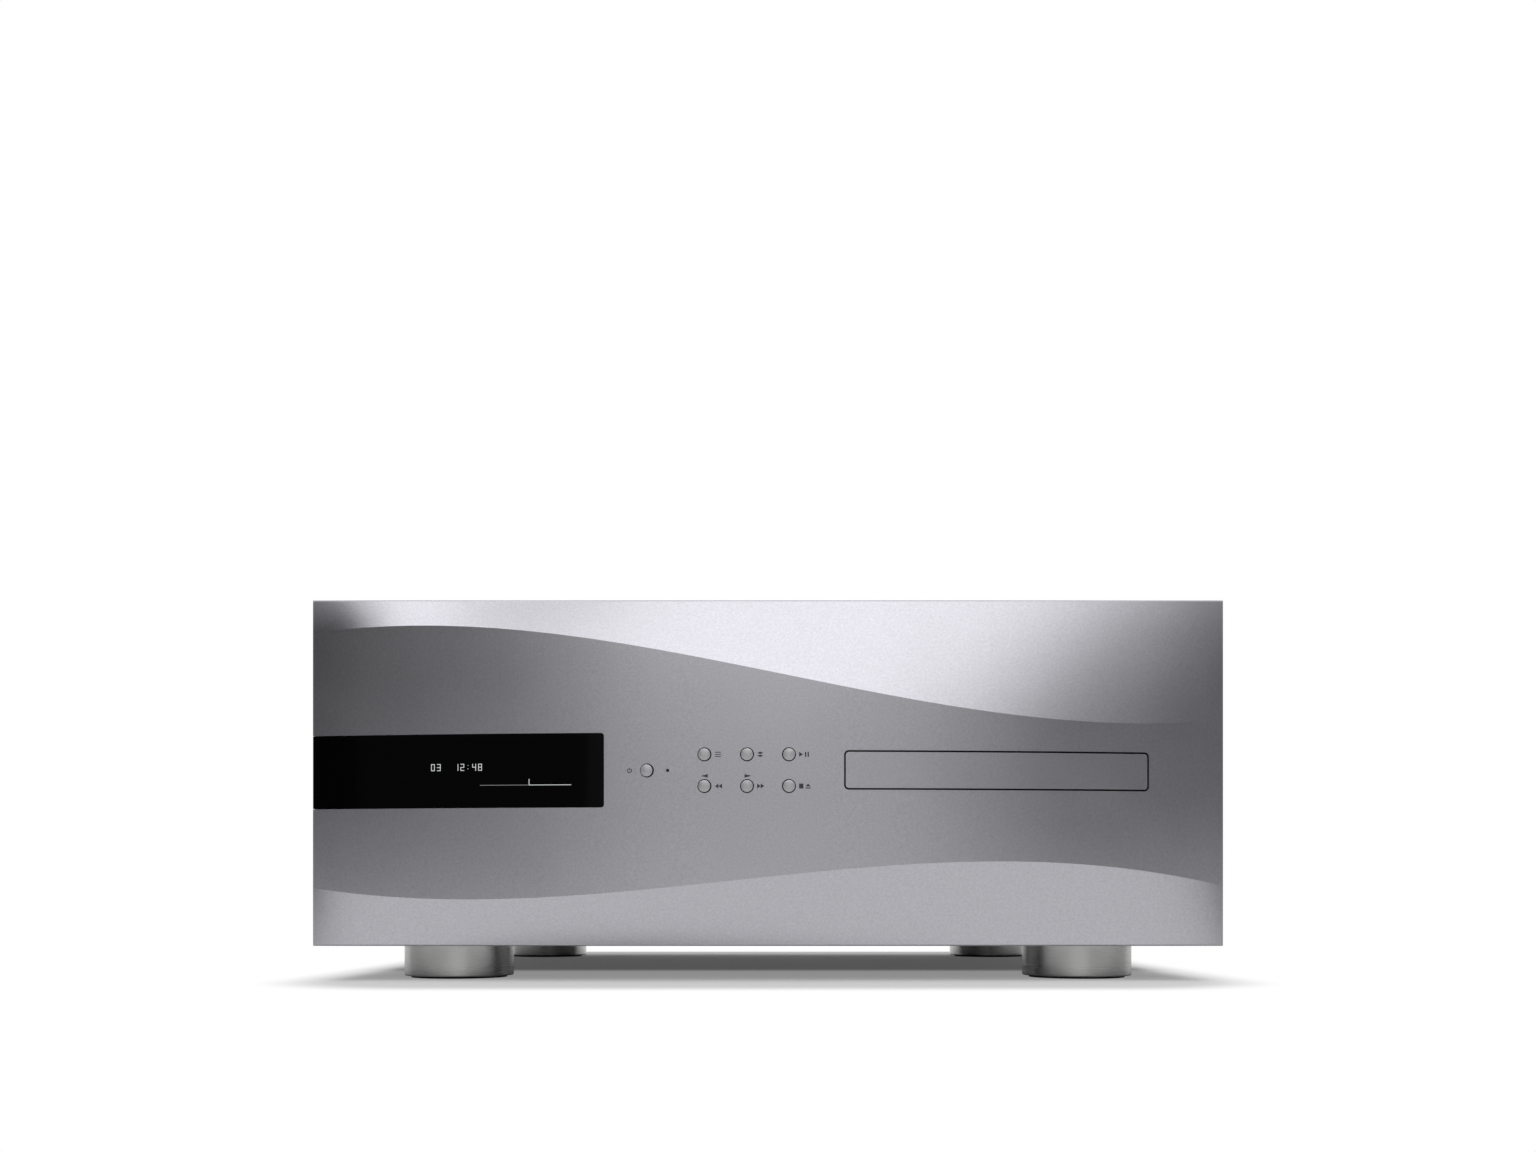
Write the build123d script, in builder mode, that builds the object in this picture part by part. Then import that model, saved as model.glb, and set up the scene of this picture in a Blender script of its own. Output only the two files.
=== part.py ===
from build123d import *
from math import acos, asin, atan2, cos, degrees, hypot, pi, radians, sin, sqrt, tan
import os

os.makedirs("parts", exist_ok=True)

# A full-width disc transport in millimetres. +X is right seen from the front, +Z is up and the
# front faces -Y. The origin is on the floor, under the middle of the case.

# Case
case_width = 444.0
front_height = 168.8
overall_depth = 437.2
connector_reach = 8.0

# Front plate: a bow in plan between two wave edges, flush with the straight edges at both ends
bow_rise = 17.5
band_step = 0.05
plate_edge_thickness = 14.0
plate_edge_chamfer = 0.6
section_count = 13
upper_wave_level = 131.27
upper_wave_slope = 51.66
upper_wave_swing = 76.6
upper_wave_rate = 1.2646
upper_wave_phase = 3.1372
lower_wave_level = 25.36
lower_wave_slope = -89.85
lower_wave_swing = -99.98
lower_wave_rate = 1.1365
lower_wave_phase = 3.2228

# Panels of the case
side_thickness = 8.0
cover_thickness = 5.0
cover_edge_chamfer = 0.8
base_thickness = 4.0
rear_thickness = 3.0
post_size = 12.0

# Feet
foot_radius = 27.8
foot_height = 16.2
foot_edge_round = 0.6
foot_side_set_back = 61.8
front_foot_set_back = 48.5
rear_foot_set_back = 41.0
pad_radius = 24.4
pad_thickness = 1.0

# Clearances
panel_gap = 0.2
slide_gap = 0.3
shaft_gap = 0.05
screw_gap = 0.1
tray_ring_gap = 0.5

# Display
window_reach = 78.4
window_bottom = 83.8
window_height = 35.7
window_thickness = 3.0
window_corner = 1.5
window_overrun = 6.0
display_left_margin = 17.0
display_right_margin = 16.6
display_bottom = 88.0
display_height = 27.0
display_thickness = 6.0
display_step = 6.5
display_rim = 5.0
circuit_thickness = 1.6

# Buttons, each at its place across from the middle of the controls, and up
controls_from_right = 222.0
button_radius = 3.1
button_ring = 0.25
button_dome = 1.2
button_dome_edge = 0.4
button_travel = 0.6
button_flange_radius = 4.4
button_flange = 1.0
button_stem_radius = 1.6
button_wall = 5.6
button_pocket_depth = 9.0
button_top_row = 109.0
button_bottom_row = 93.9
button_offsets = {
    "power_button": (-57.8, 101.4),
    "menu_button": (-30.3, button_top_row),
    "layer_button": (-10.0, button_top_row),
    "play_pause_button": (10.0, button_top_row),
    "rewind_button": (-30.3, button_bottom_row),
    "forward_button": (-10.0, button_bottom_row),
    "stop_eject_button": (10.0, button_bottom_row),
}
light_offset = (-47.9, 101.4)
light_radius = 0.75
light_foot_radius = 1.5
switch_size = 6.0
switch_height = 3.5
plunger_radius = 1.7
plunger_height = 1.0
button_board_width = 94.0
button_board_height = 37.0
board_step = 4.0

# Tray, its front and its drive
tray_front_width = 147.6
tray_front_height = 18.25
tray_front_bottom = 92.5
tray_front_corner = 2.0
tray_from_right = 111.6
tray_width = 134.0
tray_thickness = 8.0
tray_front_margin = 10.0
tray_rear_margin = 55.0
tray_raise = 3.5
disc_radius = 60.0
disc_gap = 0.6
recess_depth = 4.4
recess_slope = 1.2
small_disc_radius = 40.4
small_recess_depth = 1.4
window_half_width = 21.5
window_front = 20.0
tray_travel = 140.0
gear_module = 1.0
tooth_root = 1.2
tooth_tip = 0.85
flank_steps = 5
spare_teeth = 4
pinion_teeth = 14
tooth_thinning = 0.12
pressure_angle = 20.0
rack_back = 3.0
pinion_place = (52.5, -34.5)
drive_pulley_radius = 12.0
motor_pulley_radius = 4.0
pulley_width = 3.0
belt_size = 1.2
belt_sink = 0.9
tray_motor_reach = 36.5
tray_motor_radius = 10.0
tray_motor_height = 14.0
shaft_radius = 1.0

# Deck and loader frame
deck_width = 144.0
deck_depth = 182.0
deck_thickness = 5.0
deck_height = 32.8
deck_post_radius = 6.0
damper_radius = 6.0
damper_height = 5.0
floor_thickness = 3.0
rail_thickness = 3.0
rail_side_gap = 0.4
ledge_width = 3.4
ledge_thickness = 3.0
lip_thickness = 2.0
mount_spacing_x = 124.0
mount_front = -7.5
mount_rear = 108.5
bridge_thickness = 2.5
bridge_depth = 46.0
deck_shift = 4.0
loader_front_gap = 1.0
loader_rear_margin = 9.0
motor_chamfer = 1.0

# Clamper
clamper_radius = 15.0
clamper_flange_radius = 22.0
clamper_flange = 1.5
clamper_hole_gap = 2.0
clamper_drop = 0.6
magnet_radius = 10.0
magnet_thickness = 1.6

# Traverse with the spindle and the pickup, in lengths from the disc's centre
lift_travel = 11.1
platter_drop = 0.5
platter_radius = 14.0
platter_thickness = 2.0
cone_radius = 7.4
cone_height = 3.0
cone_top_radius = 4.6
spindle_motor_radius = 12.0
spindle_motor_height = 10.0
spindle_shaft_radius = 1.5
spindle_boss_radius = 4.0
frame_border = 7.0
frame_front = -20.0
frame_rear = 97.0
frame_thickness = 4.0
frame_drop = 8.5
frame_window_front = 15.5
frame_window_gap = 1.5
wall_thickness = 3.0
flange_height = 12.0
guide_radius = 2.0
guide_front = (30.0, -14.0)
guide_rear = (35.0, 92.0)
rod_radius = 1.5
rod_drop = 2.0
sled_start = 16.2
sled_length = 32.0
sled_travel = 36.0
sled_end_gap = 0.8
sled_rod_wall = 2.0
sled_height = 8.0
sled_tower_half = 19.0
sled_tower_height = 5.0
lens_offset = 6.0
lens_holder_radius = 4.5
lens_holder_height = 3.5
lens_well_gap = 0.6
lens_radius = 2.5
lens_crown = 0.7
focus_travel = 0.6
leadscrew_radius = 1.75
leadscrew_side = 14.0
leadscrew_drop = 5.5
sled_motor_radius = 4.0
sled_motor_length = 12.0
sled_motor_bore = 7.2
lug_floor = 0.6

# Lift cam
cam_travel = 24.0
cam_side_gap = 2.5
cam_thickness = 3.0
cam_height = 24.0
cam_margin = 6.0
cam_pin_radius = 2.0
cam_pin_reach = 1.5
cam_pin_front = -5.0
cam_pin_rear = 65.0
cam_pin_raise = 8.0
cam_bridge_width = 10.0
cam_bridge_place = 82.0
cam_bridge_thickness = 2.2
lift_motor_radius = 8.0
lift_motor_height = 15.0
lift_motor_gap = 1.4
lift_pinion_place = 40.5
lift_rack_height = 4.0
lift_rack_raise = 17.0
lift_rack_reach = 5.5

# Power supply and boards
toroid_radius = 52.0
toroid_washer_radius = 24.0
toroid_height = 46.0
toroid_round = 14.0
toroid_pad = 2.0
toroid_front_gap = 38.9
toroid_spacing = 11.0
standoff_radius = 3.0
standoff_height = 9.0
chip_size = 18.0
chip_height = 3.0
capacitor_radius = 9.0
capacitor_height = 30.0
chip_counts = (4, 3)
chip_pitch = (45.2, 48.0)
capacitor_counts = (5, 2)
capacitor_pitch = (23.4, 27.0)
board_spacing = 17.0
board_side_gap = 10.0
board_post_gap = 3.0
board_loader_gap = 36.8
board_toroid_gap = 14.0
main_board_rear_gap = 17.6
power_board_rear_gap = 25.6

# Sockets on the rear panel, in one row
socket_row = 62.0
inlet_side_gap = 25.0
inlet_flange = (66.0, 32.0)
inlet_body = (52.0, 27.4)
inlet_offset = -12.0
inlet_cavity = (24.4, 16.6)
inlet_depth = 21.0
inlet_wall = 2.0
inlet_pin = (4.0, 2.0)
inlet_pin_length = 16.0
inlet_pin_spacing = 7.0
inlet_pin_rise = 4.0
switch_offset = 18.0
rocker_size = (11.4, 20.6)
rocker_gap = 1.3
rocker_side_gap = 0.2
rocker_angle = 8.0
rocker_pivot_radius = 1.0
rocker_pivot_reach = 0.8
rocker_pivot_depth = 5.0
rocker_dip = 1.4
rocker_stand = 2.2
rocker_back = 3.0
flange_thickness = 1.6
digital_count = 2
digital_spacing = 38.0
digital_coax_gap = 32.0
digital_flange = (26.0, 31.0)
digital_shell_radius = 11.6
digital_cavity_radius = 9.4
digital_depth = 14.5
digital_pin_length = 9.0
digital_pin_radius = 1.2
digital_pin_circle = 4.0
coax_count = 3
coax_spacing = 24.0
coax_side_gap = 42.0
coax_barrel_radius = 4.8
coax_nut_radius = 7.0
coax_nut_height = 2.4
coax_bore_radius = 4.0
coax_core_radius = 2.6

# Flat cable inside
cable_width = 16.0
cable_thickness = 0.8
cable_offset = -16.0
cable_inset = 11.0
cable_bend = 5.0

# Screws
cover_screw_radius = 2.0
cover_screw_length = 14.0
cover_screw_socket = 1.4
cover_screws_per_side = 4
panel_screw_radius = 2.5
panel_screw_head = 4.2
panel_screw_rise = 24.0
panel_screw_drop = 26.0
front_screw_depth = 8.0
screw_end_gap = 1.0
foot_bolt_radius = 3.0
foot_bolt_head = 5.0
shoulder_screw_radius = 2.0
shoulder_screw_head = 3.4
shoulder_screw_reach = 10.0

# Heights and depths that follow from the sizes above
half_width = case_width / 2
frame_window_rear = sled_start + sled_length + sled_travel + sled_end_gap
wall_inner = tray_width / 2 + rail_side_gap
pinion_radius = pinion_teeth * gear_module / 2
lift_pinion_from_middle = wall_inner - lift_motor_gap - lift_motor_radius
cam_inner = lift_pinion_from_middle - pinion_radius - lift_rack_reach - cam_thickness
frame_half_width = cam_inner - cam_side_gap
frame_window_half = frame_half_width - frame_border
sled_half_width = frame_window_half - frame_window_gap
rod_spacing = 2 * (sled_half_width - sled_rod_wall - rod_radius)
case_bottom = pad_thickness + foot_height
case_top = case_bottom + front_height
base_top = case_bottom + base_thickness
cover_bottom = case_top - cover_thickness
front_apex = button_dome - overall_depth / 2
front_edge = front_apex + bow_rise
plate_back = front_edge + plate_edge_thickness
rear_face = overall_depth / 2 - connector_reach
rear_inside = rear_face - rear_thickness
inner_half_width = half_width - side_thickness
controls_x = half_width - controls_from_right
tray_centre = half_width - tray_from_right
window_right = controls_x - window_reach
display_left = display_left_margin - half_width
display_right = window_right - display_right_margin
button_places = {name: (controls_x + across, up) for name, (across, up) in button_offsets.items()}
light_place = (controls_x + light_offset[0], light_offset[1])
cable_place = controls_x + cable_offset
inlet_place = (inlet_side_gap + inlet_flange[0] / 2 - inner_half_width, socket_row)
coax_right = inner_half_width - coax_side_gap
coax_places = [coax_right - coax_spacing * index for index in reversed(range(coax_count))]
digital_right = coax_places[0] - digital_coax_gap
digital_places = [digital_right - digital_spacing * index for index in reversed(range(digital_count))]
bow_sagitta = bow_rise - band_step
bow_radius = (half_width**2 + bow_sagitta**2) / (2 * bow_sagitta)
bow_centre = front_apex + bow_radius


def facing_front(y):
    """The upright plane at y whose sketches read as seen from the front; it extrudes forwards."""
    return Plane.XZ.offset(-y)


def bow_y(x, depth=0.0):
    """Where the bowed surface, or one lying depth behind it, is at x."""
    return bow_centre - sqrt((bow_radius - depth) ** 2 - x**2)


def wave(x, level, slope, swing, rate, phase):
    share = x / half_width
    return case_bottom + level + slope * share + swing * sin(rate * share + phase)


def bow_body(depth):
    """Everything that lies behind the bowed surface by depth or more, as far as the plate's back."""
    with BuildPart() as body:
        with BuildSketch(Plane.XY.offset(case_bottom)):
            with BuildLine():
                ThreePointArc(
                    (-half_width, bow_y(half_width, depth)),
                    (0, bow_y(0, depth)),
                    (half_width, bow_y(half_width, depth)),
                )
                Polyline(
                    (half_width, bow_y(half_width, depth)),
                    (half_width, plate_back),
                    (-half_width, plate_back),
                    (-half_width, bow_y(half_width, depth)),
                )
            make_face()
        extrude(amount=front_height)
    return body.part


def rounded_block(left, right, bottom, top, corner, front, back):
    """A block whose four edges along Y are rounded."""
    with BuildPart() as block:
        with BuildSketch(facing_front(back)):
            with Locations(((left + right) / 2, (bottom + top) / 2)):
                RectangleRounded(right - left, top - bottom, corner)
        extrude(amount=back - front)
    return block.part


def cap_screw(shank_radius, shank_length, head_radius, head_height):
    """A screw on the Z axis: its head stands on the XY plane and its shank points down."""
    with BuildPart() as screw:
        with BuildSketch():
            Circle(shank_radius)
        extrude(amount=-shank_length)
        with BuildSketch():
            Circle(head_radius)
        extrude(amount=head_height)
        with BuildSketch(Plane.XY.offset(head_height)):
            RegularPolygon(shank_radius, 6)
        extrude(amount=-head_height / 2, mode=Mode.SUBTRACT)
    return screw.part


def involute(roll):
    return tan(roll) - roll


def spur_gear(teeth, module, height, bottom):
    """A spur gear on the Z axis with one tooth on +X, its teeth thinned for play."""
    pitch_radius = teeth * module / 2
    base_radius = pitch_radius * cos(radians(pressure_angle))
    root_radius = pitch_radius - tooth_root * module
    tip_radius = pitch_radius + tooth_tip * module
    half_at_pitch = pi / (2 * teeth) - tooth_thinning / pitch_radius
    flank = []
    for step in range(flank_steps + 1):
        radius = base_radius + (tip_radius - base_radius) * step / flank_steps
        half = half_at_pitch + involute(radians(pressure_angle)) - involute(acos(base_radius / radius))
        flank.append((radius * cos(half), radius * sin(half)))
    half_at_base = half_at_pitch + involute(radians(pressure_angle))
    inside = root_radius - module / 2
    root = [(inside * cos(half_at_base), inside * sin(half_at_base))]
    upper = root + flank
    lower = [(x, -y) for x, y in reversed(upper)]
    with BuildPart() as gear:
        with BuildSketch(Plane.XY.offset(bottom)):
            Circle(root_radius)
            with PolarLocations(0, teeth):
                Polygon(*upper, *lower, align=None)
        extrude(amount=height)
    return gear.part


def rack(tooth_count, module, height, back):
    """A rack along Y whose pitch line is X = 0, with teeth facing -X and a gap at Y = 0."""
    pitch = pi * module
    root = tooth_root * module
    tip = tooth_tip * module
    lean = tan(radians(pressure_angle))
    half = pitch / 4 - tooth_thinning
    length = tooth_count * pitch
    with BuildPart() as bar:
        with BuildSketch():
            with Locations((root + back / 2, length / 2 - pitch)):
                Rectangle(back, length)
            with Locations(*[(0, (index - 0.5) * pitch) for index in range(tooth_count)]):
                Polygon(
                    (-tip, half - tip * lean),
                    (root, half + root * lean),
                    (root, -half - root * lean),
                    (-tip, -half + tip * lean),
                    align=None,
                )
        extrude(amount=height)
    return bar.part


def save(piece, name):
    piece.label = name
    export_step(piece, f"parts/{name}.step")


# Front plate
upper_wave = (upper_wave_level, upper_wave_slope, upper_wave_swing, upper_wave_rate, upper_wave_phase)
lower_wave = (lower_wave_level, lower_wave_slope, lower_wave_swing, lower_wave_rate, lower_wave_phase)
tray_front_left = tray_centre - tray_front_width / 2
tray_front_right = tray_centre + tray_front_width / 2
tray_front_top = tray_front_bottom + tray_front_height
window_top = window_bottom + window_height
display_top = display_bottom + display_height
button_xs = [place[0] for place in button_places.values()]
button_zs = [place[1] for place in button_places.values()]
button_mid_x = (min(button_xs) + max(button_xs)) / 2
button_mid_z = (min(button_zs) + max(button_zs)) / 2
button_pocket_back = front_apex + button_wall
button_board_front = button_pocket_back + button_pocket_depth
display_board_front = plate_back - display_step
panel_screw_heights = (case_bottom + panel_screw_rise, case_top - panel_screw_drop)

window_blank = rounded_block(
    -half_width - window_overrun,
    window_right,
    window_bottom,
    window_top,
    window_corner,
    front_apex,
    plate_back,
)
with BuildPart() as window_pocket:
    add(window_blank)
    add(bow_body(window_thickness), mode=Mode.SUBTRACT)

with BuildPart() as front_plate:
    for section in range(section_count):
        across = -half_width + section * case_width / (section_count - 1)
        with BuildSketch(Plane.YZ.offset(across)):
            with BuildLine():
                Polyline(
                    (plate_back, case_bottom),
                    (front_edge + plate_edge_chamfer, case_bottom),
                    (front_edge, case_bottom + plate_edge_chamfer),
                    (bow_y(across), wave(across, *lower_wave)),
                    (bow_y(across), wave(across, *upper_wave)),
                    (front_edge, case_top - plate_edge_chamfer),
                    (front_edge + plate_edge_chamfer, case_top),
                    (plate_back, case_top),
                    close=True,
                )
            make_face()
    loft()
    add(window_pocket.part, mode=Mode.SUBTRACT)
    with BuildSketch(facing_front(plate_back)):
        with Locations(((display_left + display_right) / 2, (display_bottom + display_top) / 2)):
            Rectangle(display_right - display_left, display_height)
    extrude(amount=overall_depth, mode=Mode.SUBTRACT)
    with BuildSketch(facing_front(plate_back)):
        with Locations(((display_left + display_right) / 2, (display_bottom + display_top) / 2)):
            Rectangle(
                display_right - display_left + 2 * display_rim,
                display_height + 2 * display_rim,
            )
    extrude(amount=display_step, mode=Mode.SUBTRACT)
    with BuildSketch(facing_front(plate_back)):
        with Locations((button_mid_x, button_mid_z)):
            Rectangle(button_board_width + 2 * panel_gap, button_board_height + 2 * panel_gap)
    extrude(amount=plate_back - button_board_front, mode=Mode.SUBTRACT)
    with BuildSketch(facing_front(plate_back)):
        with Locations((button_mid_x, button_mid_z)):
            Rectangle(button_board_width - 2 * board_step, button_board_height - 2 * board_step)
    extrude(amount=plate_back - button_pocket_back, mode=Mode.SUBTRACT)
    with BuildSketch(facing_front(plate_back)):
        with Locations((tray_centre, (tray_front_bottom + tray_front_top) / 2)):
            RectangleRounded(tray_front_width, tray_front_height, tray_front_corner)
        with Locations(*button_places.values()):
            Circle(button_radius + button_ring)
        with Locations(light_place):
            Circle(light_radius + shaft_gap)
    extrude(amount=overall_depth, mode=Mode.SUBTRACT)
    with BuildSketch(facing_front(plate_back)):
        with Locations(
            *[
                (side * (inner_half_width - post_size / 2), height)
                for side in (-1, 1)
                for height in panel_screw_heights
            ]
        ):
            Circle(panel_screw_radius + shaft_gap)
    extrude(amount=front_screw_depth, mode=Mode.SUBTRACT)
save(front_plate.part, "front_plate")

# Display window, flush with the bow, and the module behind it
with BuildPart() as display_window:
    add(
        rounded_block(
            -half_width - window_overrun,
            window_right - panel_gap,
            window_bottom + panel_gap,
            window_top - panel_gap,
            window_corner - panel_gap,
            front_apex,
            plate_back,
        )
    )
    add(bow_body(0), mode=Mode.INTERSECT)
    add(bow_body(window_thickness - panel_gap), mode=Mode.SUBTRACT)
save(display_window.part, "display_window")

with BuildPart() as display_module:
    with BuildSketch(facing_front(display_board_front + circuit_thickness)):
        with Locations(((display_left + display_right) / 2, (display_bottom + display_top) / 2)):
            Rectangle(
                display_right - display_left + 2 * display_rim - 2 * panel_gap,
                display_height + 2 * display_rim - 2 * panel_gap,
            )
    extrude(amount=circuit_thickness)
    with BuildSketch(facing_front(display_board_front)):
        with Locations(((display_left + display_right) / 2, (display_bottom + display_top) / 2)):
            Rectangle(
                display_right - display_left - 2 * panel_gap,
                display_height - 2 * panel_gap,
            )
    extrude(amount=display_thickness)
save(display_module.part, "display_module")


# Buttons and their board
def push_button(across, height):
    surface = bow_y(across)
    collar = button_pocket_back + slide_gap
    stem_end = button_board_front - switch_height - plunger_height - button_travel - panel_gap
    shoulder = surface - button_dome_edge
    dome_rise = shoulder - (surface - button_dome)
    dome_radius = (button_radius**2 + dome_rise**2) / (2 * dome_rise)
    half_turn = asin(button_radius / dome_radius) / 2
    plane = Plane(origin=(across, 0, height), x_dir=(1, 0, 0), z_dir=(0, 0, 1))
    with BuildPart() as button:
        with BuildSketch(plane):
            with BuildLine():
                Polyline(
                    (0, surface - button_dome),
                    (0, stem_end),
                    (button_stem_radius, stem_end),
                    (button_stem_radius, collar + button_flange),
                    (button_flange_radius, collar + button_flange),
                    (button_flange_radius, collar),
                    (button_radius, collar),
                    (button_radius, shoulder),
                )
                ThreePointArc(
                    (button_radius, shoulder),
                    (
                        dome_radius * sin(half_turn),
                        surface - button_dome + dome_radius * (1 - cos(half_turn)),
                    ),
                    (0, surface - button_dome),
                )
            make_face()
        revolve(axis=Axis((across, 0, height), (0, 1, 0)))
    return button.part


for button_name, button_place in button_places.items():
    save(push_button(*button_place), button_name)

with BuildPart() as button_board:
    with BuildSketch(facing_front(button_board_front + circuit_thickness)):
        with Locations((button_mid_x, button_mid_z)):
            Rectangle(button_board_width, button_board_height)
    extrude(amount=circuit_thickness)
    with BuildSketch(facing_front(button_board_front)):
        with Locations(*button_places.values()):
            Rectangle(switch_size, switch_size)
    extrude(amount=switch_height)
    with BuildSketch(facing_front(button_board_front)):
        with Locations(*button_places.values()):
            Circle(plunger_radius)
    extrude(amount=switch_height + plunger_height)
save(button_board.part, "button_board")

with BuildPart() as status_light:
    with BuildSketch(facing_front(button_board_front)):
        with Locations(light_place):
            Circle(light_foot_radius)
    extrude(amount=button_board_front - button_pocket_back - slide_gap)
    with BuildSketch(facing_front(button_board_front)):
        with Locations(light_place):
            Circle(light_radius)
    extrude(amount=button_board_front - bow_y(light_place[0]))
save(status_light.part, "status_light")

# Base, sides, cover, rear panel and the posts that hold them together
post_x = inner_half_width - post_size / 2
post_front = plate_back + post_size / 2
post_rear = rear_inside - post_size / 2
panel_depth = rear_face - plate_back
panel_middle = (rear_face + plate_back) / 2
front_foot = front_edge + front_foot_set_back
rear_foot = rear_face - rear_foot_set_back
foot_x = half_width - foot_side_set_back
foot_places = {
    "foot_front_left": (-foot_x, front_foot),
    "foot_front_right": (foot_x, front_foot),
    "foot_rear_left": (-foot_x, rear_foot),
    "foot_rear_right": (foot_x, rear_foot),
}
tray_front_rear = front_edge
disc_centre = tray_front_rear + tray_front_margin + disc_radius + disc_gap
mount_x = mount_spacing_x / 2
loader_mounts = [
    (tray_centre + side * mount_x, disc_centre + along)
    for side in (-1, 1)
    for along in (mount_front, mount_rear)
]

# The main board reaches from the cable to the right-hand posts, the power board fills what is left
main_board_left = cable_place - cable_inset
main_board_right = inner_half_width - post_size - board_post_gap
main_board_front = disc_centre + mount_rear + deck_post_radius + board_loader_gap
main_board_rear = rear_inside - main_board_rear_gap
main_board_size = (main_board_right - main_board_left, main_board_rear - main_board_front)
main_board_place = ((main_board_left + main_board_right) / 2, (main_board_front + main_board_rear) / 2)
toroid_x = (main_board_left - inner_half_width) / 2
toroid_front = plate_back + toroid_front_gap + toroid_radius
toroid_rear = toroid_front + 2 * toroid_radius + toroid_spacing
toroid_places = [(toroid_x, toroid_front), (toroid_x, toroid_rear)]
power_board_left = board_side_gap - inner_half_width
power_board_right = main_board_left - board_spacing
power_board_front = toroid_rear + toroid_radius + board_toroid_gap
power_board_rear = rear_inside - power_board_rear_gap
power_board_size = (power_board_right - power_board_left, power_board_rear - power_board_front)
power_board_place = ((power_board_left + power_board_right) / 2, (power_board_front + power_board_rear) / 2)

with BuildPart() as base_plate:
    with BuildSketch(Plane.XY.offset(case_bottom)):
        with Locations((0, panel_middle)):
            Rectangle(2 * inner_half_width, panel_depth)
        with Locations(*foot_places.values()):
            Circle(foot_bolt_radius + screw_gap, mode=Mode.SUBTRACT)
        with Locations(*toroid_places):
            Circle(foot_bolt_radius + screw_gap, mode=Mode.SUBTRACT)
    extrude(amount=base_thickness)
save(base_plate.part, "base_plate")

cover_screw_places = [
    (side * (half_width - side_thickness / 2), plate_back + panel_depth * (row + 0.5) / cover_screws_per_side)
    for side in (-1, 1)
    for row in range(cover_screws_per_side)
]
for side, side_name in ((-1, "side_left"), (1, "side_right")):
    with BuildPart() as side_panel:
        with BuildSketch(Plane.XY.offset(case_bottom)):
            with Locations((side * (half_width - side_thickness / 2), panel_middle)):
                Rectangle(side_thickness, panel_depth)
        extrude(amount=cover_bottom - case_bottom)
        with Locations(*[(x, y, cover_bottom) for x, y in cover_screw_places if x * side > 0]):
            Hole(cover_screw_radius + shaft_gap, cover_screw_length)
    save(side_panel.part, side_name)

with BuildPart() as top_cover:
    with BuildSketch(Plane.XY.offset(cover_bottom)):
        with Locations((0, panel_middle)):
            Rectangle(case_width, panel_depth)
    extrude(amount=cover_thickness)
    chamfer(
        top_cover.faces().sort_by(Axis.Z)[-1].edges().filter_by(Axis.Y)
        + top_cover.faces().sort_by(Axis.Z)[-1].edges().sort_by(Axis.Y)[-1:],
        cover_edge_chamfer,
    )
    with Locations(*[(x, y, case_top) for x, y in cover_screw_places]):
        CounterSinkHole(cover_screw_radius + screw_gap, 2 * cover_screw_radius, cover_thickness, 90)
save(top_cover.part, "top_cover")

with BuildPart() as corner_posts:
    with BuildSketch(Plane.XY.offset(base_top)):
        with Locations(*[(side * post_x, along) for side in (-1, 1) for along in (post_front, post_rear)]):
            Rectangle(post_size, post_size)
    extrude(amount=cover_bottom - base_top)
    with BuildSketch(facing_front(post_front + post_size)):
        with Locations(*[(side * post_x, height) for side in (-1, 1) for height in panel_screw_heights]):
            Circle(panel_screw_radius + screw_gap)
    extrude(amount=2 * post_size, mode=Mode.SUBTRACT)
    with BuildSketch(facing_front(post_rear + post_size)):
        with Locations(*[(side * post_x, height) for side in (-1, 1) for height in panel_screw_heights]):
            Circle(panel_screw_radius + shaft_gap)
    extrude(amount=2 * post_size, mode=Mode.SUBTRACT)
save(corner_posts.part, "corner_posts")

with BuildPart() as rear_panel:
    with BuildSketch(facing_front(rear_face)):
        with Locations((0, (base_top + cover_bottom) / 2)):
            Rectangle(2 * inner_half_width, cover_bottom - base_top)
        with Locations(inlet_place):
            Rectangle(inlet_body[0] + 2 * panel_gap, inlet_body[1] + 2 * panel_gap, mode=Mode.SUBTRACT)
        with Locations(*[(across, socket_row) for across in digital_places]):
            Circle(digital_shell_radius + panel_gap, mode=Mode.SUBTRACT)
        with Locations(*[(across, socket_row) for across in coax_places]):
            Circle(coax_barrel_radius + panel_gap, mode=Mode.SUBTRACT)
        with Locations(*[(side * post_x, height) for side in (-1, 1) for height in panel_screw_heights]):
            Circle(panel_screw_radius + screw_gap, mode=Mode.SUBTRACT)
    extrude(amount=rear_thickness)
save(rear_panel.part, "rear_panel")

# Screws of the case
with BuildPart() as cover_screw:
    with BuildSketch(Plane.XY):
        Circle(cover_screw_radius)
    extrude(amount=-cover_screw_length)
    Cone(
        cover_screw_radius,
        2 * cover_screw_radius - screw_gap,
        cover_screw_radius - screw_gap,
        align=(Align.CENTER, Align.CENTER, Align.MAX),
    )
    with BuildSketch(Plane.XY):
        RegularPolygon(cover_screw_socket, 6)
    extrude(amount=-cover_screw_radius, mode=Mode.SUBTRACT)

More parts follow.
